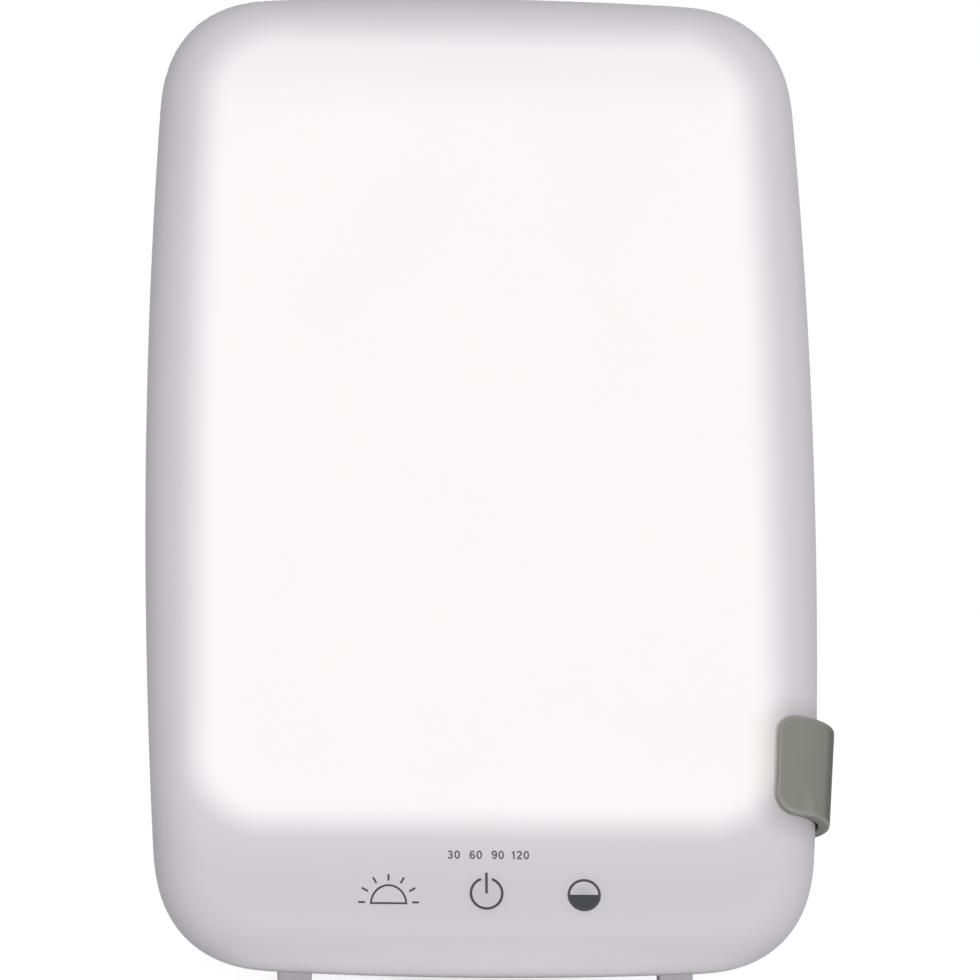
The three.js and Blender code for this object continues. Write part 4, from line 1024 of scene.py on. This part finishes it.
s = symbolSet
domeRadii = (s["dome"] - s["sunLine"] / 2, s["domeHeight"] - s["sunLine"] / 2)
dome = inkArc(s["sunX"], s["sunZ"], domeRadii, s["sunLine"], 0, 180, s["domeSteps"])
baseZ = s["sunZ"] + s["sunLine"] / 2
base = inkBar(s["sunX"] - s["dome"], baseZ, s["sunX"] + s["dome"], baseZ, s["sunLine"])
finishInk([dome, base], "printedSunDome", darkInk)
for i, (x0, z0, x1, z1) in enumerate(s["rays"]):
    for side in ((1, -1) if x0 else (1,)):
        ray = inkBar(s["sunX"] + side * x0, z0, s["sunX"] + side * x1, z1, s["sunLine"])
        finishInk([ray], f"printedSunRay{i + 1}{'Right' if side > 0 else 'Left'}", darkInk)
powerRadii = (s["powerRadius"] - s["powerLine"] / 2,) * 2
ringEnds = (90 + s["powerGap"], 450 - s["powerGap"])
powerRing = inkArc(s["powerX"], s["powerZ"], powerRadii, s["powerLine"], *ringEnds, s["powerSteps"])
finishInk([powerRing], "printedPowerRing", darkInk)
barLow, barHigh = s["powerZ"] - s["barDown"], s["powerZ"] + s["barUp"]
powerBar = inkBar(s["powerX"], barLow, s["powerX"], barHigh, s["powerLine"])
finishInk([powerBar], "printedPowerBar", darkInk)
halfRadii = (s["halfRadius"] - s["halfLine"] / 2,) * 2
finishInk(inkRing(s["halfX"], s["halfZ"], halfRadii, s["halfLine"]), "printedHalfRing", darkInk)
discRadius = s["halfRadius"] - s["halfLine"]
rise = math.degrees(math.asin(s["halfRaised"] / discRadius))
steps = s["halfSteps"]
lowerHalf = [math.radians(180 - rise + (180 + 2 * rise) * k / steps) for k in range(steps + 1)]
halfDisc = inkShape([(s["halfX"] + discRadius * math.cos(a), s["halfZ"] + discRadius * math.sin(a))
                     for a in lowerHalf])
finishInk([halfDisc], "printedHalfDisc", halfInk)
print("printed symbols done")

# Inner pieces keep their own shape and take their finish here
innerFinish = {
    "diffuser_plate": diffuserSheet, "reflector_tray": whiteFilm, "carrier_plate": aluminiumSheet,
    "led_": whiteMask, "control_board": greenMask, "light_mask": blackNylon, "timer_led": lensEpoxy,
    "touch_pad": liningFoam, "driver_inductor": copperWire, "driver_capacitor": capSleeve,
    "control_chip": blackNylon, "inlet_connector": naturalNylon, "strip_connector": naturalNylon,
    "inlet_lead_positive": redSleeve, "strip_lead_positive": redSleeve, "inlet_lead_negative": blackSleeve,
    "strip_lead_negative": blackSleeve, "plate_screw": zincSteel, "board_screw": zincSteel,
}
for nodeName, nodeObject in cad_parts.items():
    for start, material in innerFinish.items():
        if nodeName.startswith(start):
            nodeObject.data.materials.clear()
            nodeObject.data.materials.append(material)

# Floor, light and camera
stageSet = {"floorSize": 12.0, "floor": "#F1F1F1", "floorLift": 0.59, "world": 0.46,
            "key": 1.55, "keyTurn": 8.0, "keyRise": 7.0, "keySoft": 12.0,
            "back": 0.85, "backTurn": 180.0, "backRise": 7.0, "backSoft": 12.0}
cameraSet = {"focal": 5912.0, "frame": 980.0, "sensor": 36.0, "distance": 2.0, "yaw": 0.0598, "roll": -0.011,
             "aimRight": 3.08, "aimUp": -4.95, "nearest": 0.05, "farthest": 60.0}


def seenDirectly(tree):
    # 1 for what the camera sees, also in gloss and through glass, and 0 for the light that falls on the lamp
    rays = addNode(tree, "ShaderNodeLightPath")
    seen = addNode(tree, "ShaderNodeMath", {"operation": "ADD"}, {
        0: rays.outputs["Is Camera Ray"], 1: rays.outputs["Is Glossy Ray"]})
    return addNode(tree, "ShaderNodeMath", {"operation": "ADD", "use_clamp": True}, {
        0: seen, 1: rays.outputs["Is Transmission Ray"]})


deselectAll()
bpy.ops.mesh.primitive_plane_add(size=stageSet["floorSize"])
floor = takeNew("studioFloor")
floorMaterial, tree = newMaterial("paintedFloor")
lift = addNode(tree, "ShaderNodeMath", {"operation": "MULTIPLY"}, {
    0: seenDirectly(tree), 1: stageSet["floorLift"]})
paint = addNode(tree, "ShaderNodeBsdfPrincipled", None, {
    "Base Color": linearColour(stageSet["floor"]), "Roughness": 0.9, "Specular IOR Level": 0.0,
    "Emission Color": (1, 1, 1, 1), "Emission Strength": lift})
closeMaterial(tree, paint)
floor.data.materials.append(floorMaterial)

world = bpy.data.worlds.new("studioWorld")
bpy.context.scene.world = world
world.use_nodes = True
tree = world.node_tree
tree.nodes.clear()
level = addNode(tree, "ShaderNodeMapRange", None, {"Value": seenDirectly(tree), "To Min": stageSet["world"]})
sky = addNode(tree, "ShaderNodeBackground", None, {"Color": (1, 1, 1, 1), "Strength": level})
addNode(tree, "ShaderNodeOutputWorld", None, {"Surface": sky})


def addSun(name, strength, turn, rise, soft):
    # turn is the azimuth it shines from, counted as the views are, and rise its height, both in degrees
    a, e = math.radians(turn), math.radians(rise)
    source = Vector((math.sin(a) * math.cos(e), -math.cos(a) * math.cos(e), math.sin(e)))
    deselectAll()
    bpy.ops.object.light_add(type="SUN", location=source * 3)
    sun = bpy.context.object
    sun.name = name
    sun.rotation_euler = (-source).to_track_quat("-Z", "Y").to_euler()
    sun.data.energy = strength
    sun.data.angle = math.radians(soft)


addSun("keyLight", stageSet["key"], stageSet["keyTurn"], stageSet["keyRise"], stageSet["keySoft"])
addSun("backLight", stageSet["back"], stageSet["backTurn"], stageSet["backRise"], stageSet["backSoft"])

turnAbout = Matrix.Rotation(-cameraSet["roll"], 3, "Y") @ Matrix.Rotation(cameraSet["yaw"], 3, "Z")
turnAbout.transpose()
rightward, forward, upward = (turnAbout @ Vector(axis) for axis in ((1, 0, 0), (0, 1, 0), (0, 0, 1)))
aim = panelCentre + rightward * cameraSet["aimRight"] * mm + upward * cameraSet["aimUp"] * mm
bpy.ops.object.camera_add(location=aim - forward * cameraSet["distance"])
camera = bpy.context.object
camera.rotation_euler = Matrix((rightward, upward, -forward)).transposed().to_euler()
camera.data.sensor_width = cameraSet["sensor"]
camera.data.lens = cameraSet["sensor"] * cameraSet["focal"] / cameraSet["frame"]
camera.data.clip_start, camera.data.clip_end = cameraSet["nearest"], cameraSet["farthest"]
bpy.context.scene.camera = camera
bpy.context.scene.view_settings.view_transform = "Standard"
print("stage ready")
